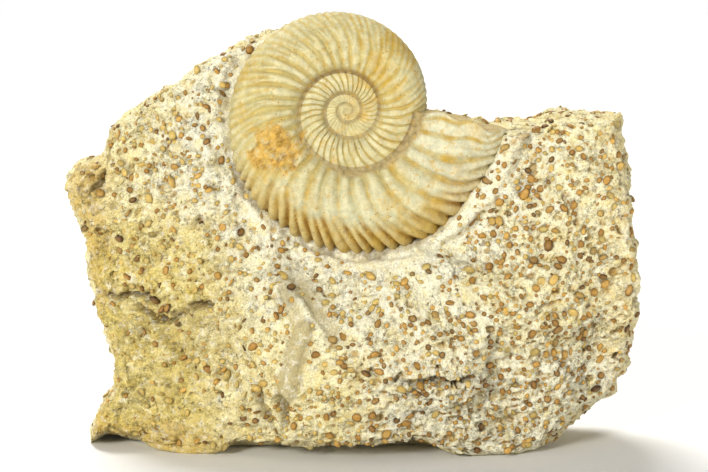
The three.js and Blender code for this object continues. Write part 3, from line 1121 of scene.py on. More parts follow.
    def in_plane(self, out: Array, angle: Array) -> tuple[Array, Array]:
        """The place in the face plane at a distance and angle; the coil is a little pressed in at its right.

        Args:
            out: distance from the coil's centre, in millimetres.
            angle: angle round it.

        Returns:
            How far right and how high, in millimetres.
        """
        across = out * np.cos(angle)
        pressed = across * (1 - self.pressed_in * smoothstep(0, 12, across))
        return self.centre_x + pressed, self.centre_z + out * np.sin(angle)


# --------------------------------------------------------------------------- the rock


class Side(Enum):
    """The four sides of the block's outline."""

    TOP = "top"
    BOTTOM = "bottom"
    LEFT = "left"
    RIGHT = "right"


@dataclass
class LimestoneBlock:
    """The broken block: an outline patch in front, a bulging back and rough edges between them.

    Outline and relief are in millimetres from the middle of the CAD block's base; its box sets the scale.
    """

    low: Vector
    high: Vector
    shell: Ammonite
    across: int = 256
    up: int = 200
    through: int = 60
    front_inset: tuple[float, float] = (3.5, 2.0)
    back_inset: tuple[float, float] = (8.0, 7.0)
    back_rim: float = 23.0
    back_bulge: float = 8.0
    back_wear: float = 0.05
    crest: float = 0.35
    sole_relief: float = 4.0
    face_reach: float = 5.5
    outline_reach: float = 7.0
    face_wave: float = 0.7
    edge_wave: float = 1.4
    back_wave: float = 2.0
    swell: float = 1.1
    break_relief: float = 1.35
    grit_relief: float = 0.5
    parting_depth: float = 0.5
    grain_relief: float = 0.1
    flake_height: float = 0.75
    crease_depth: float = 2.2
    pit_depth: float = 0.9
    cleft_depth: float = 3.2
    ridge_rise: float = 1.3
    scar_depth: float = 0.8
    bedding_depth: float = 0.65
    groove_depth: float = 1.1
    lap_height: float = 5.6
    arch_height: float = 2.0
    outline: dict[Side, Path] = field(default_factory=lambda: {
        Side.LEFT: ((-57.5, 3), (-54, 9.5), (-52, 12), (-52.5, 18), (-55.5, 28.5), (-58.5, 40), (-58.5, 46.5),
                    (-61.5, 54), (-62.75, 58.5)),
        Side.TOP: ((-62.75, 58.5), (-60.5, 61.5), (-54.5, 63.5), (-52, 68.5), (-47.5, 73.5), (-35, 81.5),
                   (-26.5, 87), (-16.5, 91), (-9, 92.5), (0, 92.5), (6, 90), (10.5, 85.5), (13.5, 79.5),
                   (15.5, 73.4), (24, 72.2), (31.5, 70.6), (38.5, 71.2), (45, 73), (58, 73)),
        Side.RIGHT: ((58, 14), (60.5, 17.5), (62.5, 30), (62.75, 40), (61, 51), (59.5, 64), (58, 73)),
        Side.BOTTOM: ((-57.5, 3), (-54.5, 5), (-46.5, 4), (-42, 1), (-36, 0), (-29.5, 0), (-26, 1.5),
                      (-5, 1.5), (19, 2), (26, 0), (36.5, 0), (42, 2), (47.5, 7), (53, 12), (58, 14)),
    })
    relief: Spots = (
        # rim and upper left shoulder
        (-57, 58, -3), (-48, 67, -7), (-37, 75, -11), (-25, 87, -12), (0, 90, -13),
        # left field, falling away to the edge
        (-32, 61, -15), (-48, 52, -9), (-54, 43, -5), (-41, 42, -14), (-26, 49, -17),
        # crevice, lower left recess and foot
        (-51, 32, -4), (-39, 27, -12), (-28, 34, -20), (-48, 17, -8), (-37, 11, -14), (-54, 6, -10),
        (-41, 2, -16), (-24, 17, -20), (-26, 3, -18),
        # ridge and ledge under the shell
        (-12, 14, -28), (-13, 27, -30), (-1, 42, -15), (1, 35, -27), (1, 25, -31), (2, 14, -30), (-1, 4, -25),
        (17, 36, -27), (17, 25, -30), (17, 14, -28), (17, 4, -23),
        # right field
        (30, 2, -20), (28, 35, -27), (24, 47, -17), (36, 50, -23), (44, 64, -22), (54, 69, -20),
        (35, 67, -19), (22, 71, -12), (53, 51, -22), (44, 34, -25), (55, 34, -18), (40, 19, -21),
        (54, 19, -11), (38, 7, -17),
    )
    outline_depth: Spots = (
        (-62, 57, 5), (-58, 43, 4), (-53, 20, 3), (-56, 5, 0), (-36, 0, -15), (0, 2, -20), (28, 0, -17),
        (42, 2, -11), (60, 16, 0), (63, 38, 4), (58, 72, 0), (30, 71, -6), (0, 92, -6), (-30, 84, -5),
        (-50, 70, 0),
    )
    upper_crack: Path = ((-55, 33.5), (-51, 32.5), (-48, 33.8), (-44.5, 33.5), (-42, 31.5))
    lower_crack: Path = ((-46, 31), (-42, 29), (-38.5, 28.5), (-36, 31), (-34, 32.2), (-30.5, 32.5))
    tip_slot: Path = ((-53.5, 60), (-55, 58), (-57, 56))
    bedding_crack: Path = ((9, 18.6), (12.5, 17.6), (17, 17.8), (22, 17.5), (26, 18.2))
    smooth_ridge: Path = ((-10, 29), (-11.5, 24), (-12.5, 19), (-13.5, 15))
    scars: tuple[Path, ...] = (((-11, 38), (-8, 34.5), (-4, 29)), ((-14, 37), (-11.5, 31), (-10.5, 28)))
    clefts: tuple[Path, ...] = (((-15, 13.5), (-14.3, 8.5)), ((-19.5, 14), (-18.5, 9.5)))

    def __post_init__(self) -> None:
        """Keeps the outline and relief as arrays."""
        self.sides = {side: np.array(path, float) for side, path in self.outline.items()}
        self.spots = np.array(self.relief, float)
        self.rim_spots = np.array(self.outline_depth, float)
        self.depth_low = self.low.y / MM
        self.depth_high = self.high.y / MM

    # ---- the smooth shape

    @staticmethod
    def rolling(x: Array, y: Array, z: Array) -> Array:
        """Slow unevenness of a broken face, from about -1 to 1: three crossed waves.

        Args:
            x: how far right each place is, in millimetres.
            y: how far back each place is, in millimetres.
            z: how high each place is, in millimetres.

        Returns:
            One number for each place.
        """
        first = np.sin(0.31 * x + 0.17 * z + 1.3) * np.sin(0.27 * z - 0.12 * y + 0.4)
        second = 0.6 * np.sin(0.53 * x - 0.41 * y + 0.36 * z)
        return (first + second + 0.4 * np.sin(0.71 * y + 0.22 * x - 0.5 * z + 2)) / 2

    def along(self, side: Side, share: Array, wear: Array) -> Array:
        """A place on one side of the outline by share of its length, corners worn by a three-point mean.

        Args:
            side: which side of the outline.
            share: share of the side's length.
            wear: how far the corners are worn, as a share of the side's length.

        Returns:
            Places in the face plane.
        """
        path = self.sides[side]
        steps = np.concatenate([[0], np.cumsum(np.hypot(*np.diff(path, axis=0).T))])
        steps /= steps[-1]
        apart = 4 * share * (1 - share) * wear
        total = 0.0
        for offset in (-1, 0, 1):
            near = share + offset * apart
            total = total + np.stack([np.interp(near, steps, path[:, axis]) for axis in (0, 1)], axis=-1)
        return total / 3

    def outline_point(self, u: Array, v: Array, wear: Array) -> Array:
        """Coons patch of the outline: both pairs of facing sides blended, less the corners counted twice.

        Args:
            u: share across the outline, 0 at the left.
            v: share up the outline, 0 at the bottom.
            wear: how far the corners are worn, as a share of the side's length.

        Returns:
            Places in the face plane.
        """
        low, high = self.along(Side.BOTTOM, u, wear), self.along(Side.TOP, u, wear)
        left, right = self.along(Side.LEFT, v, wear), self.along(Side.RIGHT, v, wear)
        u, v = u[..., None], v[..., None]
        corners = [self.sides[Side.LEFT][0], self.sides[Side.RIGHT][0]]
        corners += [self.sides[Side.LEFT][-1], self.sides[Side.RIGHT][-1]]
        return (
            (1 - v) * low + v * high + (1 - u) * left + u * right
            - (1 - u) * (1 - v) * corners[0] - u * (1 - v) * corners[1]
            - (1 - u) * v * corners[2] - u * v * corners[3]
        )

    def inset_point(self, u: Array, v: Array, inset: tuple[float, float], share: Array, wear: Array) -> Array:
        """The outline drawn in from its sides by a share of an inset.

        Args:
            u: share across the outline, 0 at the left.
            v: share up the outline, 0 at the bottom.
            inset: how far in, sideways and upwards, in millimetres.
            share: how much of the inset to take.
            wear: how far the corners are worn, as a share of the side's length.

        Returns:
            Places in the face plane.
        """
        place = self.outline_point(u, v, wear)
        place[..., 0] -= (2 * u - 1) * inset[0] * share
        place[..., 1] -= (2 * v - 1) * inset[1] * share
        return place

    def face_point(self, u: Array, v: Array) -> Array:
        """The prepared face: the outline drawn in a little, at the blended depth of the named spots.

        Args:
            u: share across the outline, 0 at the left.
            v: share up the outline, 0 at the bottom.

        Returns:
            Positions in millimetres.
        """
        place = self.inset_point(u, v, self.front_inset, np.ones_like(u), np.zeros_like(u))
        x, z = place[..., 0], place[..., 1]
        depth = blended_depth(self.spots, x, z, self.face_reach)
        depth = depth + self.face_wave * self.rolling(x, 0, z)
        return np.stack([x, depth, z], axis=-1)

    def back_point(self, u: Array, v: Array) -> Array:
        """The unworked back: a low swelling with slow waves.

        Args:
            u: share across the outline, 0 at the left.
            v: share up the outline, 0 at the bottom.

        Returns:
            Positions in millimetres.
        """
        place = self.inset_point(u, v, self.back_inset, np.ones_like(u), np.full_like(u, self.back_wear))
        x, z = place[..., 0], place[..., 1]
        inside = np.clip(16 * u * (1 - u) * v * (1 - v), 0, 1) ** 0.6
        depth = self.back_rim + inside * (self.back_bulge + self.back_wave * self.rolling(x / 2, 0, z / 2))
        return np.stack([x, depth, z], axis=-1)

    def edge_point(self, u: Array, v: Array, w: Array) -> Array:
        """The edge: a quarter turn from the front rim out to the outline, then one in to the back rim.

        Args:
            u: share across the outline, 0 at the left.
            v: share up the outline, 0 at the bottom.
            w: share from the front rim to the back rim.

        Returns:
            Positions in millimetres.
        """
        outline = self.outline_point(u, v, np.zeros_like(u))
        crest_depth = blended_depth(self.rim_spots, outline[..., 0], outline[..., 1], self.outline_reach)
        turn = np.clip(w / self.crest, 0, 1) * math.pi / 2
        front = self.inset_point(u, v, self.front_inset, 1 - np.sin(turn), np.zeros_like(u))
        rim_depth = self.face_point(u, v)[..., 1]
        front_depth = rim_depth + (crest_depth - rim_depth) * (1 - np.cos(turn))
        turn = np.clip((w - self.crest) / (1 - self.crest), 0, 1) * math.pi / 2
        wear = self.back_wear * np.sin(turn)
        back = self.inset_point(u, v, self.back_inset, 1 - np.cos(turn), wear)
        back_depth = crest_depth + (self.back_rim - crest_depth) * np.sin(turn)
        wave = np.sin(2 * turn) * self.edge_wave * self.rolling(back[..., 0], back_depth, back[..., 1])
        back = back + wave[..., None] * np.stack([2 * u - 1, 2 * v - 1], axis=-1)
        behind = w >= self.crest
        place = np.where(behind[..., None], back, front)
        depth = np.where(behind, back_depth, front_depth)
        return np.stack([place[..., 0], depth, place[..., 1]], axis=-1)

    def level_sole(self, points: Array, v: Array) -> Array:
        """Levels the underside into the sole that the block stands on.

        Args:
            points: positions in millimetres, changed in place.
            v: share up the outline, 0 at the bottom.

        Returns:
            The same positions.
        """
        behind = smoothstep(-18, 4, points[..., 1]) * (v <= 0)
        points[..., 2] = np.maximum(points[..., 2] - self.sole_relief * behind, 0)
        return points

    # ---- the patches

    def patches(self) -> SurfaceMesh:
        """Joins six grids: a fine face, and edges and back at half its density behind a band of threes.

        Returns:
            The smooth block as one closed surface.
        """
        u_fine, v_fine = np.linspace(0, 1, self.across + 1), np.linspace(0, 1, self.up + 1)
        u_half, v_half = u_fine[::2], v_fine[::2]
        w_rows = np.linspace(0, 1, self.through + 1) ** 1.15
        u, v = np.meshgrid(u_fine, v_fine, indexing="ij")
        grids = [(self.level_sole(self.face_point(u, v), v), False)]
        u, v = np.meshgrid(u_half, v_half, indexing="ij")
        grids.append((self.level_sole(self.back_point(u, v), v), True))
        bands = []
        for side in (Side.TOP, Side.BOTTOM, Side.LEFT, Side.RIGHT):
            level = side in (Side.TOP, Side.BOTTOM)
            fine = u_fine if level else v_fine
            half = u_half if level else v_half
            fixed = 1.0 if side in (Side.TOP, Side.RIGHT) else 0.0
            flip = side in (Side.BOTTOM, Side.RIGHT)
            for steps, rows in ((half, w_rows[1:]), (fine, w_rows[:1])):
                s, w = np.meshgrid(steps, rows, indexing="ij")
                u, v = (s, np.full_like(s, fixed)) if level else (np.full_like(s, fixed), s)
                points = self.level_sole(self.edge_point(u, v, w), v)
                if steps is half:
                    grids.append((points, flip))
                    first_row = points[:, 0]
                else:
                    bands.append((points[:, 0], first_row, flip))
        return self.join(grids, bands)

    def join(self, grids: list[tuple[Array, bool]], bands: list[tuple[Array, Array, bool]]) -> SurfaceMesh:
        """One welded surface from the grids and the bands that step the density down by two.

        Args:
            grids: each grid of positions, and whether its faces turn over.
            bands: each band's fine and half rows, and whether its faces turn over.

        Returns:
            The welded surface, stretched to the block's own depth.
        """
        points, faces, start = [], [], 0
        for grid, flip in grids:
            numbers = start + np.arange(grid[..., 0].size).reshape(grid.shape[:2])
            faces.append(grid_faces(numbers[::-1] if flip else numbers))
            points.append(grid.reshape(-1, 3))
            start += numbers.size
        for fine, half, flip in bands:
            a = start + np.arange(len(fine))
            b = start + len(fine) + np.arange(len(half))
            threes = np.concatenate([
                np.stack([a[0:-1:2], a[1::2], b[:-1]], axis=-1),
                np.stack([a[1::2], b[1:], b[:-1]], axis=-1),
                np.stack([a[1::2], a[2::2], b[1:]], axis=-1),
            ])
            faces.append(threes[:, ::-1] if flip else threes)
            points.append(np.concatenate([fine, half]))
            start += len(fine) + len(half)
        mesh = SurfaceMesh(np.concatenate(points), faces).welded()
        depth = mesh.points[:, 1]
        stretch = (self.depth_high - self.depth_low) / (depth.max() - depth.min())
        mesh.points[:, 1] = (depth - depth.min()) * stretch + self.depth_low
        return mesh

    # ---- the broken and prepared surface

    def smoothness(self, place: Array, front: Array) -> Array:
        """How far the air abrasive has smoothed the rock: widest below and right of the shell.

        Args:
            place: positions in millimetres.
            front: 1 on the prepared face, falling to 0 round its edge.

        Returns:
            1 where the rock is quite smooth, 0 where it is rough.
        """
        x, z = place[:, 0], place[:, 2]
        distance = self.shell.edge_distance(x, z)
        lower_right = bell(self.shell.bearing(x, z), -1.0, 0.5)
        width = 1.6 + 5.0 * lower_right + 5.0 * layered_noise(place, 7.0, 3, 15, 0.6)
        near = 0.7 * smoothstep(1.1, 0.2, distance / np.maximum(width, 0.8))
        ridge = smoothstep(2.6, 1.4, segment_distance(x, z, self.smooth_ridge))
        scars = sum(smoothstep(2.0, 1.0, segment_distance(x, z, scar)) for scar in self.scars)
        return np.clip(np.maximum(near, np.maximum(ridge, scars)) * front, 0, 1)

    def roughen(self, mesh: SurfaceMesh) -> dict[str, Array]:
        """Gives the smooth shape its breaks, cracks and grain, and returns the masks the colours use.

        Args:
            mesh: the rock's surface, changed in place.

        Returns:
            The masks front, smooth, dark (where shade is painted) and grey.
        """
        normals = mesh.vertex_normals()
        place = mesh.points.copy()
        x, z = place[:, 0], place[:, 2]
        front = smoothstep(0.1, 0.5, -normals[:, 1])
        smooth = self.smoothness(place, front)
        left = smoothstep(-14, -30, x) * front
        grit = (1 - 0.8 * smooth) * (1 + 0.35 * left)
        push = self.swell * layered_noise(place, 9.0, 2, 1) * (1 - 0.7 * smooth)
        push += self.break_relief * layered_noise(place, 3.4, 4, 2, 0.6) * grit
        push += self.grit_relief * layered_noise(place, 1.1, 2, 3) * grit
        parting = smoothstep(0.12, 0.0, np.abs(layered_noise(place, 2.2, 3, 14, 0.6)))
        push -= self.parting_depth * parting * grit
        push += self.grain_relief * layered_noise(place, 0.8, 2, 4)
        steps = 5.0 * layered_noise(place * (1.0, 1.0, 1.5), 11.0, 3, 5)
        flakes = np.floor(steps) + smoothstep(0.0, 0.4, steps - np.floor(steps)) - steps
        push += self.flake_height * flakes * mix(0.45, 1.4, left) * (1 - 0.9 * smooth)
        creases = np.abs(layered_noise(place, 10.0, 3, 6, 0.55))
        crease = self.crease_depth * np.minimum(creases, 0.3) - 0.45
        push += crease * mix(0.5, 1.0, 1 - front) * (1 - smooth)
        hollow = smoothstep(0.28, 0.5, layered_noise(place, 1.9, 2, 18)) * (1 - smooth)
        hollow = hollow * mix(0.35, 1.0, np.maximum(left, 0.4 * smoothstep(20, 32, x) * front))
        push -= self.pit_depth * hollow
        marks = self.face_marks(x, z, front, place)
        push += marks["push"]
        mesh.points = place + normals * (push * above_sole(place))[:, None]
        arch = smoothstep(-28, -24, x) * smoothstep(20, 15, x) * smoothstep(-6, -14, place[:, 1])
        mesh.points[:, 2] += self.arch_height * arch * smoothstep(9, 0, z)
        mesh.points[:, 2] = np.maximum(mesh.points[:, 2], 0)
        self.clear_shell(mesh)
        # dark: painted shade in the cuts, clefts, gaps, the groove and the hollows
        dark = np.maximum(marks["dark"], 0.25 * hollow)
        return {"front": front, "smooth": smooth, "dark": dark, "grey": marks["grey"]}

    def face_marks(self, x: Array, z: Array, front: Array, place: Array) -> dict[str, Array]:
        """Cracks, slots, smooth scars and clefts of the face, as a push along the normal and two masks.

        Args:
            x: how far right each place is, in millimetres.
            z: how high each place is, in millimetres.
            front: 1 on the prepared face, falling to 0 round its edge.
            place: positions in millimetres.

        Returns:
            The push in millimetres, the dark mask where shade is painted, and the grey mask.
        """
        wobble = 1.3 * layered_noise(place, 2.6, 4, 7, 0.65)
        push = np.zeros_like(x)
        # dark marks where shade is painted into the cuts, clefts, bedding gaps and the groove by the shell
        dark = np.zeros_like(x)
        cuts = [(self.upper_crack, 0.8, 2.4), (self.lower_crack, 1.2, 2.9), (self.tip_slot, 0.9, 2.2),
                (self.bedding_crack, 0.8, 2.2)]
        for path, width, deep in cuts:
            away = np.abs(segment_distance(x, z, path) + wobble * 0.7)
            cut = smoothstep(width, 0.15 * width, away) * front
            broken = smoothstep(-0.7, -0.1, layered_noise(place, 2.4, 3, 8))
            push -= deep * cut * broken
            dark = np.maximum(dark, cut * broken)
        for path in self.clefts:
            away = segment_distance(x, z, path) + 0.4 * wobble
            cut = smoothstep(1.7, 0.3, away) * front
            push -= self.cleft_depth * cut
            dark = np.maximum(dark, 0.85 * cut)
        ridge_away = segment_distance(x, z, self.smooth_ridge) + 0.3 * wobble
        push += self.ridge_rise * smoothstep(2.1, 0.3, ridge_away) * front
        grey = smoothstep(2.8, 1.9, ridge_away) * front
        for scar in self.scars:
            away = segment_distance(x, z, scar) + 0.3 * wobble
            push -= self.scar_depth * smoothstep(1.8, 0.9, away) * front
            grey = np.maximum(grey, 0.8 * smoothstep(1.9, 1.3, away) * front)
        bedded = smoothstep(-4, 6, x) * smoothstep(40, 30, x) * smoothstep(23, 18, z) * front
        layers = layered_noise(place * (0.3, 1.0, 1.35), 3.2, 3, 9, 0.6)
        gap = smoothstep(0.1, 0.02, np.abs(layers + 0.12)) * bedded
        push -= self.bedding_depth * gap
        dark = np.maximum(dark, 0.25 * gap)
        distance = self.shell.edge_distance(x, z)
        lower_left = smoothstep(20, 5, x) * smoothstep(75, 62, z)
        groove = smoothstep(1.5, 0.4, np.abs(distance - 0.4 + 0.4 * wobble)) * front
        push -= groove * mix(0.1, self.groove_depth, lower_left)
        dark = np.maximum(dark, 0.8 * groove * lower_left * smoothstep(-0.3, 0.2, wobble))
        return {"push": push, "dark": dark, "grey": grey}

    def clear_shell(self, mesh: SurfaceMesh) -> None:
        """Sets the rock back behind the shell, and laps it over the venter beside the broken end.

        Args:
            mesh: the rock's surface, changed in place.
        """
        x, y, z = mesh.points.T
        shell = self.shell
        distance = shell.edge_distance(x, z) + 0.5 * layered_noise(mesh.points * (1, 0, 1), 2.5, 3, 13)
        lap = shell.lap(x, z)
        facing = y < shell.back_depth + 6
        level = mix(shell.middle_depth - 1.5, shell.back_depth + 0.25, smoothstep(0.1, -1.6, distance + lap))
        behind = (distance + lap < 0.1) & (y < level)
        uneven = 1.1 * layered_noise(mesh.points * (1, 0, 1), 3.0, 4, 16, 0.65)
        cover = shell.middle_depth - self.lap_height - uneven
        lip = smoothstep(0.1, 0.6, distance + lap) * smoothstep(3.0, 0.8, distance)
        lip = lip * smoothstep(0.0, 0.6, lap) * smoothstep(71.5, 68.5, z)
        lapped = (distance + lap > 0.1) & facing
        y = np.where(lapped, np.minimum(y, mix(y, cover, lip)), y)
        mesh.points[:, 1] = np.where(behind, level, y)

    def paint(self, mesh: SurfaceMesh, masks: dict[str, Array]) -> None:
        """Lays the colour: white beside the shell, cream and yellow further out, ochre on weathered sides,
        and painted shade in the lower left recess and in the cracks, clefts, gaps and hollows.

        Args:
            mesh: the rock's surface, which gets its layers.
            masks: the rock's masks, one number for each point.
        """
        place = mesh.points
        x, z = place[:, 0], place[:, 2]
        front, smooth = masks["front"], masks["smooth"]
        patchy = layered_noise(place, 14.0, 4, 11, 0.6)
        fine = layered_noise(place, 3.0, 4, 12, 0.65)
        distance = self.shell.edge_distance(x, z)
        white = smoothstep(26, 4, distance + 14 * patchy)
        white = np.maximum(white, 0.4 * smoothstep(14, 30, x))
        white = np.maximum(white, 0.85 * smoothstep(-2, 10, x) * smoothstep(30, 20, z + 5 * patchy))
        yellow = smoothstep(-20, -36, x + 10 * patchy) * smoothstep(58, 42, z)
        tint = blend(CREAM_STONE, WHITE_STONE, white + 0.5 * fine)
        tint = blend(tint, YELLOW_STONE, 0.75 * yellow + 0.7 * fine + 0.1)
        # olive in the lower left recess under the ledge: painted shade
        recess = smoothstep(-54, -46, x) * smoothstep(-20, -30, x) * bell(z + 4 * fine, 26, 7)
        tint = blend(tint, OLIVE_RECESS_SHADE, 0.6 * recess * (0.7 + fine))
        rim = smoothstep(-50, -56, x + 4 * fine) + 0.3 * smoothstep(52, 57, x + 3 * fine)
        rim = rim + smoothstep(10, 3, z + 3 * fine) * smoothstep(-20, -40, x)
        tint = blend(tint, OCHRE_STONE, np.clip(0.65 * rim, 0, 0.8))
        side = blend(OCHRE_STONE, CREAM_STONE, 0.88 + 0.8 * patchy + 0.5 * fine)
        tint = blend(side, tint, front)
        tint = blend(tint, GREY_STONE, 0.95 * masks["grey"])
        # painted shade in the cracks, clefts, gaps, groove and hollows
        tint = blend(tint, DARK_GRIT_AND_SHADE, 0.8 * masks["dark"])
        mesh.layers["tint"] = tint
        mesh.layers["coarse"] = np.clip(1 - 0.6 * smooth, 0, 1)

    def build(self) -> tuple[SurfaceMesh, dict[str, Array]]:
        """The finished rock surface without its ooids, and its masks.

        Returns:
            The rock's surface, and its masks.
        """
        mesh = self.patches()
        masks = self.roughen(mesh)
        self.paint(mesh, masks)
        return mesh, masks


# --------------------------------------------------------------------------- the ooids


@dataclass
class Ooids:
    """Iron ooids scattered in the rock: low ellipsoids, some worn flush, some fallen out of their sockets."""

    shell: Ammonite
    spacing: float = 1.32
    around: int = 8
    levels: int = 5
    fallen_share: float = 0.24
    flush_share: float = 0.3
    usual_radius: float = 0.56
    radius_spread: float = 0.33
    radius_range: tuple[float, float] = (0.27, 1.0)
    crowded_growth: float = 1.06
    overlap: float = 0.82
    lowest_seat: float = 1.4
    flush_height: float = 0.32
    domed_height: float = 0.68
    stretch_range: tuple[float, float] = (1.0, 1.5)
    tilt_spread: float = 0.2
    stand_range: tuple[float, float] = (0.1, 0.7)
    stand_off_face: float = 0.3
    tone_middle: float = 0.5
    tone_spread: float = 0.3
    sunk_share: float = 0.62
    flush_stand: float = 0.05
    lump: float = 0.14
    lump_size: float = 0.55
    seed: int = 2027
    thin_batch: int = 512
    sink_batch: int = 4096

    def chance(self, place: Array, normals: Array, front: Array, grey: Array) -> Array:
        """How likely a seat holds an ooid: dense on the right and below, sparse lower left and by the shell.

        Args:
            place: positions in millimetres.
            normals: the outward direction at each point.
            front: 1 on the prepared face, falling to 0 round its edge.
            grey: 1 on the bare scars and the ridge.

        Returns:
            A chance from 0 to 1 for each place.
        """
        x, z = place[:, 0], place[:, 2]
        patchy = layered_noise(place, 9.0, 3, 211)
        on_face = mix(0.3, 1.0, self.dense(place))
        on_face = np.maximum(on_face, 0.66 * smoothstep(-30, -36, x) * smoothstep(54, 62, z))
        on_face = mix(on_face, 0.15, smoothstep(-16, -28, x) * smoothstep(42, 32, z))
        distance = self.shell.edge_distance(x, z) + self.shell.lap(x, z)
        below_right = bell(self.shell.bearing(x, z), -1.25, 0.42)
        on_face = on_face * smoothstep(0.2, 1.4, distance / mix(1.0, 5.0, below_right)) * (1 - grey)
        on_face = on_face * mix(1.0, 0.35, np.clip(smoothstep(-44, -54, x) + smoothstep(49, 56, x), 0, 1))
        around = mix(0.26, 0.1, smoothstep(0.5, 0.8, np.abs(normals[:, 0])))
        share = mix(around, on_face, front)
        return np.clip(share * (1 + 0.9 * patchy), 0, 1)

    def seats(self, mesh: SurfaceMesh, normals: Array, masks: dict[str, Array]) -> Array:
        """One point number in each small cube of space that the surface crosses, thinned by chance.

        Args:
            mesh: the rock's surface.
            normals: the outward direction at each point.
            masks: the rock's masks, one number for each point.

        Returns:
            The chosen point numbers, in random order.
        """
        random = np.random.default_rng(self.seed)
        order = random.permutation(len(mesh.points))
        cubes = np.floor(mesh.points[order] / self.spacing).astype(np.int64)
        _, first = np.unique(cubes, axis=0, return_index=True)
        chosen = order[first]
        place = mesh.points[chosen]
        chance = self.chance(place, normals[chosen], masks["front"][chosen], masks["grey"][chosen])
        kept = random.random(len(chosen)) < chance
        x, z = place[:, 0], place[:, 2]
        inside = self.shell.edge_distance(x, z) + self.shell.lap(x, z) < 0.7
        kept &= ~(inside & (place[:, 1] < self.shell.back_depth + 3))
        kept &= z > self.lowest_seat
        return random.permutation(chosen[kept])

    def thin_out(self, place: Array, radius: Array) -> Array:
        """Keeps an ooid only if it doesn't lie more than a little over an earlier one.

        Args:
            place: positions in millimetres.
            radius: each ooid's radius, in millimetres.

        Returns:
            True for each ooid that stays.
        """
        keep = np.ones(len(place), bool)
        for start in range(0, len(place), self.thin_batch):
            stop = min(start + self.thin_batch, len(place))
            gap = np.linalg.norm(place[start:stop, None] - place[None, :stop], axis=-1)
            touch = gap < self.overlap * (radius[start:stop, None] + radius[None, :stop])
            earlier = np.arange(stop)[None, :] < np.arange(start, stop)[:, None]
            keep[start:stop] &= ~(touch & earlier).any(axis=1)
        return keep

    def scatter(self, mesh: SurfaceMesh, masks: dict[str, Array]) -> None:
        """Chooses each ooid's seat, size, tilt, depth and tone, from one seeded random sequence.

        Args:
            mesh: the rock's surface.
            masks: the rock's masks, one number for each point.
        """
        normals = mesh.vertex_normals()
        chosen = self.seats(mesh, normals, masks)
        random = np.random.default_rng(self.seed + 1)
        radius = random.lognormal(math.log(self.usual_radius), self.radius_spread, len(chosen))
        radius = np.clip(radius, *self.radius_range)
        radius = radius * mix(1.0, self.crowded_growth, self.dense(mesh.points[chosen]))
        keep = self.thin_out(mesh.points[chosen], radius)
        chosen, radius = chosen[keep], radius[keep]
        count = len(chosen)
        self.place = mesh.points[chosen]
        self.normal = normals[chosen]
        self.on_face = masks["front"][chosen] > 0.5
        self.radius = radius
        self.stretch = random.uniform(*self.stretch_range, count)
        self.spin = random.uniform(0, FULL_TURN, count)
        self.tilt = random.normal(0, self.tilt_spread, (count, 3))
        kind = random.random(count)
        self.fallen = kind < self.fallen_share * mix(0.4, 1.3, self.dense(self.place))
        self.flush = kind > 1 - self.flush_share
        self.stand = random.uniform(*self.stand_range, count)
        self.stand = self.stand * np.where(self.on_face, 1.0, self.stand_off_face)
        self.tone = np.clip(random.normal(self.tone_middle, self.tone_spread, count), 0, 1)
        self.dust = random.random(count) + 0.25 * (1 - self.dense(self.place))
        LOG.info("ooids: %d seats, %d on the face, %d fallen", count, self.on_face.sum(), self.fallen.sum())

    def sink_rock(self, mesh: SurfaceMesh) -> None:
        """Lowers the rock under each ooid, cuts the empty sockets, tints the sockets tan, partly stain and
        partly painted shade, and paints shade round each seated ooid's foot.

        Args:
            mesh: the rock's surface, changed in place.
        """
        normals = mesh.vertex_normals()
        nearest = np.full(len(mesh.points), np.inf)
        owner = np.zeros(len(mesh.points), int)
        places = self.place.astype(np.float32)
        for start in range(0, len(mesh.points), self.sink_batch):
            batch = slice(start, start + self.sink_batch)
            block = mesh.points[batch].astype(np.float32)
            square = (block**2).sum(1)[:, None] + (places**2).sum(1)[None, :] - 2 * block @ places.T
            share = np.sqrt(np.maximum(square, 0)) / self.radius[None, :]
            owner[batch] = share.argmin(1)
            nearest[batch] = share.min(1)
        fallen = self.fallen[owner]
        size = self.radius[owner]
        bowl = np.clip(1.1 - nearest**2, 0, 1)
        push = np.where(fallen, -1.5 * size * bowl, -0.3 * size * smoothstep(1.2, 0.8, nearest))
        ring = smoothstep(1.9, 1.3, nearest) * smoothstep(0.9, 1.2, nearest)
        push -= 0.08 * size * ring * ~fallen
        mesh.points = mesh.points + normals * (push * above_sole(mesh.points))[:, None]
        mesh.points[:, 2] = np.maximum(mesh.points[:, 2], 0)
        tint = mesh.layers["tint"]
        pale = lattice_value(np.stack([owner, owner, owner], -1), 7)
        socket = blend(SOCKET_STAIN_AND_SHADE, OCHRE_GRAIN, pale)
        # tan lining of the empty sockets: partly iron stain, partly painted shade in the pits
        tint = blend(tint, socket, 0.75 * fallen * smoothstep(1.1, 0.75, nearest))
        # painted shade round the foot of each seated ooid
        mesh.layers["tint"] = blend(tint, DARK_GRIT_AND_SHADE, 0.22 * ~fallen * smoothstep(1.4, 1.0, nearest))

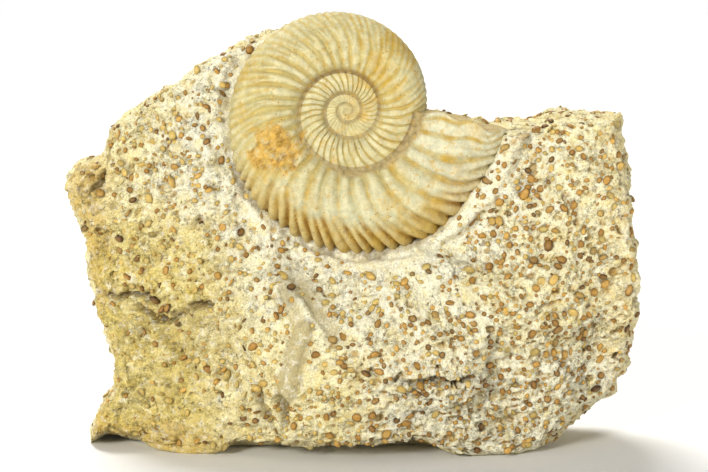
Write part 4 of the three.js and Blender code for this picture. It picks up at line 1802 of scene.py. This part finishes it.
    def unit_ball(self) -> tuple[Array, Array, Array]:
        """A ball of rings and two poles: points, four-sided faces and pole triangles.

        Returns:
            The points, the four-sided faces and the triangles.
        """
        level = math.pi * np.arange(1, self.levels) / self.levels
        turn = FULL_TURN * np.arange(self.around) / self.around
        rings = np.stack([
            np.sin(level)[:, None] * np.cos(turn)[None, :],
            np.sin(level)[:, None] * np.sin(turn)[None, :],
            np.cos(level)[:, None] * np.ones(self.around)[None, :],
        ], axis=-1).reshape(-1, 3)
        points = np.concatenate([rings, [[0, 0, 1], [0, 0, -1]]])
        number = np.arange(rings.shape[0]).reshape(self.levels - 1, self.around)
        closed = np.concatenate([number, number[:, :1]], axis=1)
        quads = grid_faces(closed)
        top, bottom = len(rings), len(rings) + 1
        first, last = closed[0], closed[-1]
        threes = np.concatenate([
            np.stack([np.full(self.around, top), first[:-1], first[1:]], axis=-1),
            np.stack([np.full(self.around, bottom), last[1:], last[:-1]], axis=-1),
        ])
        return points, quads, threes

    def balls(self, which: Array, seed: int) -> SurfaceMesh:
        """Every chosen ooid as a slightly lumpy ellipsoid, turned to its seat, with its own tint.

        Args:
            which: true for each ooid to make.
            seed: which pattern of randomness.

        Returns:
            All of them as one mesh, with its tint.
        """
        ball, quads, threes = self.unit_ball()
        normal = self.normal[which] + self.tilt[which]
        normal /= np.linalg.norm(normal, axis=1, keepdims=True)
        helper = np.where(np.abs(normal[:, 2:]) < 0.8, [[0.0, 0.0, 1.0]], [[1.0, 0.0, 0.0]])
        first = np.cross(helper, normal)
        first /= np.linalg.norm(first, axis=1, keepdims=True)
        second = np.cross(normal, first)
        cos, sin = np.cos(self.spin[which])[:, None], np.sin(self.spin[which])[:, None]
        first, second = first * cos + second * sin, second * cos - first * sin
        radius, stretch = self.radius[which], self.stretch[which]
        height = radius * np.where(self.flush[which], self.flush_height, self.domed_height)
        axes = np.stack([first * (radius * stretch)[:, None], second * (radius / stretch**0.3)[:, None],
                         normal * height[:, None]], axis=1)
        raised = np.where(self.flush[which], self.flush_stand, self.stand[which])
        centre = self.place[which] + self.normal[which] * (height * (raised - self.sunk_share))[:, None]
        points = centre[:, None] + np.einsum("va,kac->kvc", ball, axes)
        lump = 1 + self.lump * value_noise(points, self.lump_size, seed)
        points = centre[:, None] + (points - centre[:, None]) * lump[..., None]
        count, size = len(centre), len(ball)
        offset = (np.arange(count) * size)[:, None, None]
        mesh = SurfaceMesh(points.reshape(-1, 3), [
            (threes[None] + offset).reshape(-1, 3), (quads[None] + offset).reshape(-1, 4),
        ])
        mesh.layers["tint"] = self.tints(which, ball).reshape(-1, 3)
        return mesh

    def tints(self, which: Array, ball: Array) -> Array:
        """Colour of each ooid's points: its own tone, lighter on the crown (partly wear, partly painted
        highlight), darkest low on the side as painted shade.

        About a third are dusted with pale rock.

        Args:
            which: true for each ooid to colour.
            ball: the unit ball's points.

        Returns:
            One colour for each point of each ooid.
        """
        level = self.tone[which] * (len(OOID_TONES) - 1)
        step = np.minimum(level.astype(int), len(OOID_TONES) - 2)
        base = blend(OOID_TONES[step], OOID_TONES[step + 1], level - step)
        dust = smoothstep(0.6, 1.0, self.dust[which]) * 0.6
        base = blend(base, YELLOW_STONE, dust)
        # paler crown: partly wear, partly painted highlight
        crown = smoothstep(0.35, 0.98, ball[:, 2])
        worn = np.where(self.flush[which], 0.4, 0.2)
        pale = worn[:, None] * crown[None, :]
        # darker low on the side: painted shade where the ooid meets the rock
        low = smoothstep(0.8, 0.1, ball[:, 2])
        tint = blend(base[:, None, :], OOID_TONES[-1] * 1.1, pale)
        return tint * (1 - 0.35 * low)[None, :, None]

    @staticmethod
    def dense(place: Array) -> Array:
        """Where ooids crowd: the right of the face and its foot."""
        x, z = place[:, 0], place[:, 2]
        return np.maximum(smoothstep(20, 32, x), smoothstep(36, 24, z) * smoothstep(-8, 4, x))


# --------------------------------------------------------------------------- the studio


@dataclass(frozen=True)
class SunLight:
    """A broad, even light: which way it stands, how strong and wide it is, and its colour."""

    name: str
    stands: Colour
    energy: float
    spread_degrees: float
    colour: Colour

    def build(self) -> None:
        """Adds the light to the scene, facing from where it stands to the block."""
        data = bpy.data.lights.new(self.name, "SUN")
        data.energy = self.energy
        data.angle = math.radians(self.spread_degrees)
        data.color = self.colour
        light = bpy.data.objects.new(self.name, data)
        light.rotation_euler = Vector(self.stands).to_track_quat("Z", "Y").to_euler()
        bpy.context.scene.collection.objects.link(light)


@dataclass(frozen=True)
class Studio:
    """Camera, lights, pale floor and glowing wall. Distances are in metres."""

    distance: float = 0.56
    elevation: float = math.radians(6.0)
    target_height: float = 0.0455
    side_shift: float = 0.00066
    sensor: float = 36.0
    frame_width: float = 0.15576
    floor_size: float = 60.0
    wall_foot: float = 5.0
    wall_top: float = 6.53
    wall_height: float = 0.88
    wall_sides: int = 64
    farthest_seen: float = 100.0
    sky_colour: Colour = (1.0, 0.995, 0.985)
    sky_strength: float = 0.26
    floor_colour: Colour = (0.9, 0.895, 0.88)
    lights: tuple[SunLight, ...] = (
        SunLight("top_light", (-0.25, 0.62, 1.0), 3.2, 30, (1.0, 0.995, 0.975)),
        SunLight("front_light", (-0.5, -1.0, 0.38), 2.42, 12, (1.0, 0.995, 0.965)),
        SunLight("low_fill", (0.8, -1.0, 0.2), 0.85, 26, (1.0, 0.995, 0.975)),
    )

    def camera(self) -> None:
        """A long lens a little above the middle of the face."""
        data = bpy.data.cameras.new("camera")
        data.sensor_width = self.sensor
        data.lens = self.sensor * self.distance / self.frame_width
        data.clip_end = self.farthest_seen
        camera = bpy.data.objects.new("camera", data)
        camera.location = (
            self.side_shift,
            -self.distance * math.cos(self.elevation),
            self.target_height + self.distance * math.sin(self.elevation),
        )
        camera.rotation_euler = (math.pi / 2 - self.elevation, 0, 0)
        bpy.context.scene.collection.objects.link(camera)
        bpy.context.scene.camera = camera

    def world(self) -> None:
        """Even white surroundings."""
        world = bpy.data.worlds.new("white_room")
        world.use_nodes = True
        background = world.node_tree.nodes["Background"]
        background.inputs["Color"].default_value = (*self.sky_colour, 1.0)
        background.inputs["Strength"].default_value = self.sky_strength
        bpy.context.scene.world = world

    def floor(self) -> None:
        """A wide pale floor."""
        half = self.floor_size / 2
        corners = np.array([[-half, -half, 0], [half, -half, 0], [half, half, 0], [-half, half, 0]])
        floor = SurfaceMesh(corners / MM, [np.array([[0, 1, 2, 3]])]).to_object("floor")
        sheet = NodeSheet("pale_floor")
        sheet.shader.inputs["Base Color"].default_value = (*self.floor_colour, 1.0)
        sheet.shader.inputs["Roughness"].default_value = 0.9
        sheet.shader.inputs["Specular IOR Level"].default_value = 0.1
        floor.data.materials.append(sheet.material)

    def backdrop(self) -> None:
        """A low glowing wall all round that leans outward, so that a level view ends in white."""
        turn = FULL_TURN * np.arange(self.wall_sides) / self.wall_sides
        ring = np.stack([np.cos(turn), np.sin(turn), 0 * turn], axis=-1)
        foot, top = ring * self.wall_foot, ring * self.wall_top + (0, 0, self.wall_height)
        number = np.arange(2 * self.wall_sides).reshape(2, self.wall_sides)
        faces = grid_faces(np.concatenate([number, number[:, :1]], axis=1))
        wall = SurfaceMesh(np.concatenate([foot, top]) / MM, [faces])
        sheet = NodeSheet("white_wall")
        sheet.shader.inputs["Base Color"].default_value = (0.0, 0.0, 0.0, 1.0)
        sheet.shader.inputs["Specular IOR Level"].default_value = 0.0
        sheet.shader.inputs["Emission Color"].default_value = (1.0, 1.0, 1.0, 1.0)
        sheet.shader.inputs["Emission Strength"].default_value = 1.0
        piece = wall.to_object("backdrop")
        piece.data.materials.append(sheet.material)

    def build(self) -> None:
        """Sets up the whole studio."""
        self.camera()
        self.world()
        for light in self.lights:
            light.build()
        self.floor()
        self.backdrop()
        bpy.context.scene.view_settings.view_transform = "Standard"


# --------------------------------------------------------------------------- putting it together


def place_piece(piece: bpy.types.Object, material: bpy.types.Material, slot: Slot, *nodes: str) -> None:
    """Dresses a piece, makes it ride on the fossil's one body, and hides the frame's pieces that it stands
    for.

    Args:
        piece: the finished mesh object.
        material: its material.
        slot: not used.
        nodes: names of the frame's pieces that it stands for.
    """
    piece.data.materials.append(material)
    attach(piece, "root")
    if nodes:
        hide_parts(*nodes)
    faces = len(piece.data.polygons)
    LOG.info("%s: %d points, %d faces", piece.name, len(piece.data.vertices), faces)


def main() -> None:
    """Builds the shell, the rock and its ooids, then the studio."""
    logging.basicConfig(level=logging.INFO, format="%(message)s")
    shell = Ammonite(*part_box("ammonite_shell"))
    shell_mesh, back = shell.build()
    coil = shell_mesh.to_object("ammonite", back)
    place_piece(coil, ShellFinish().material(), Slot.SHELL, "ammonite_shell")

    block = LimestoneBlock(*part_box("oolitic_limestone_block"), shell)
    rock_mesh, masks = block.build()
    ooids = Ooids(shell)
    ooids.scatter(rock_mesh, masks)
    ooids.sink_rock(rock_mesh)
    block.clear_shell(rock_mesh)
    rock = rock_mesh.to_object("limestone_matrix")
    place_piece(rock, LimestoneFinish().material(), Slot.LIMESTONE, "oolitic_limestone_block")

    ooid_material = OoidFinish().material()
    seated = ~ooids.fallen
    for name, which, seed in (
        ("ooids_face", seated & ooids.on_face, 301),
        ("ooids_around", seated & ~ooids.on_face, 302),
    ):
        place_piece(ooids.balls(which, seed).to_object(name), ooid_material, Slot.OOID)

    Studio().build()


if __name__ == "__main__":
    main()
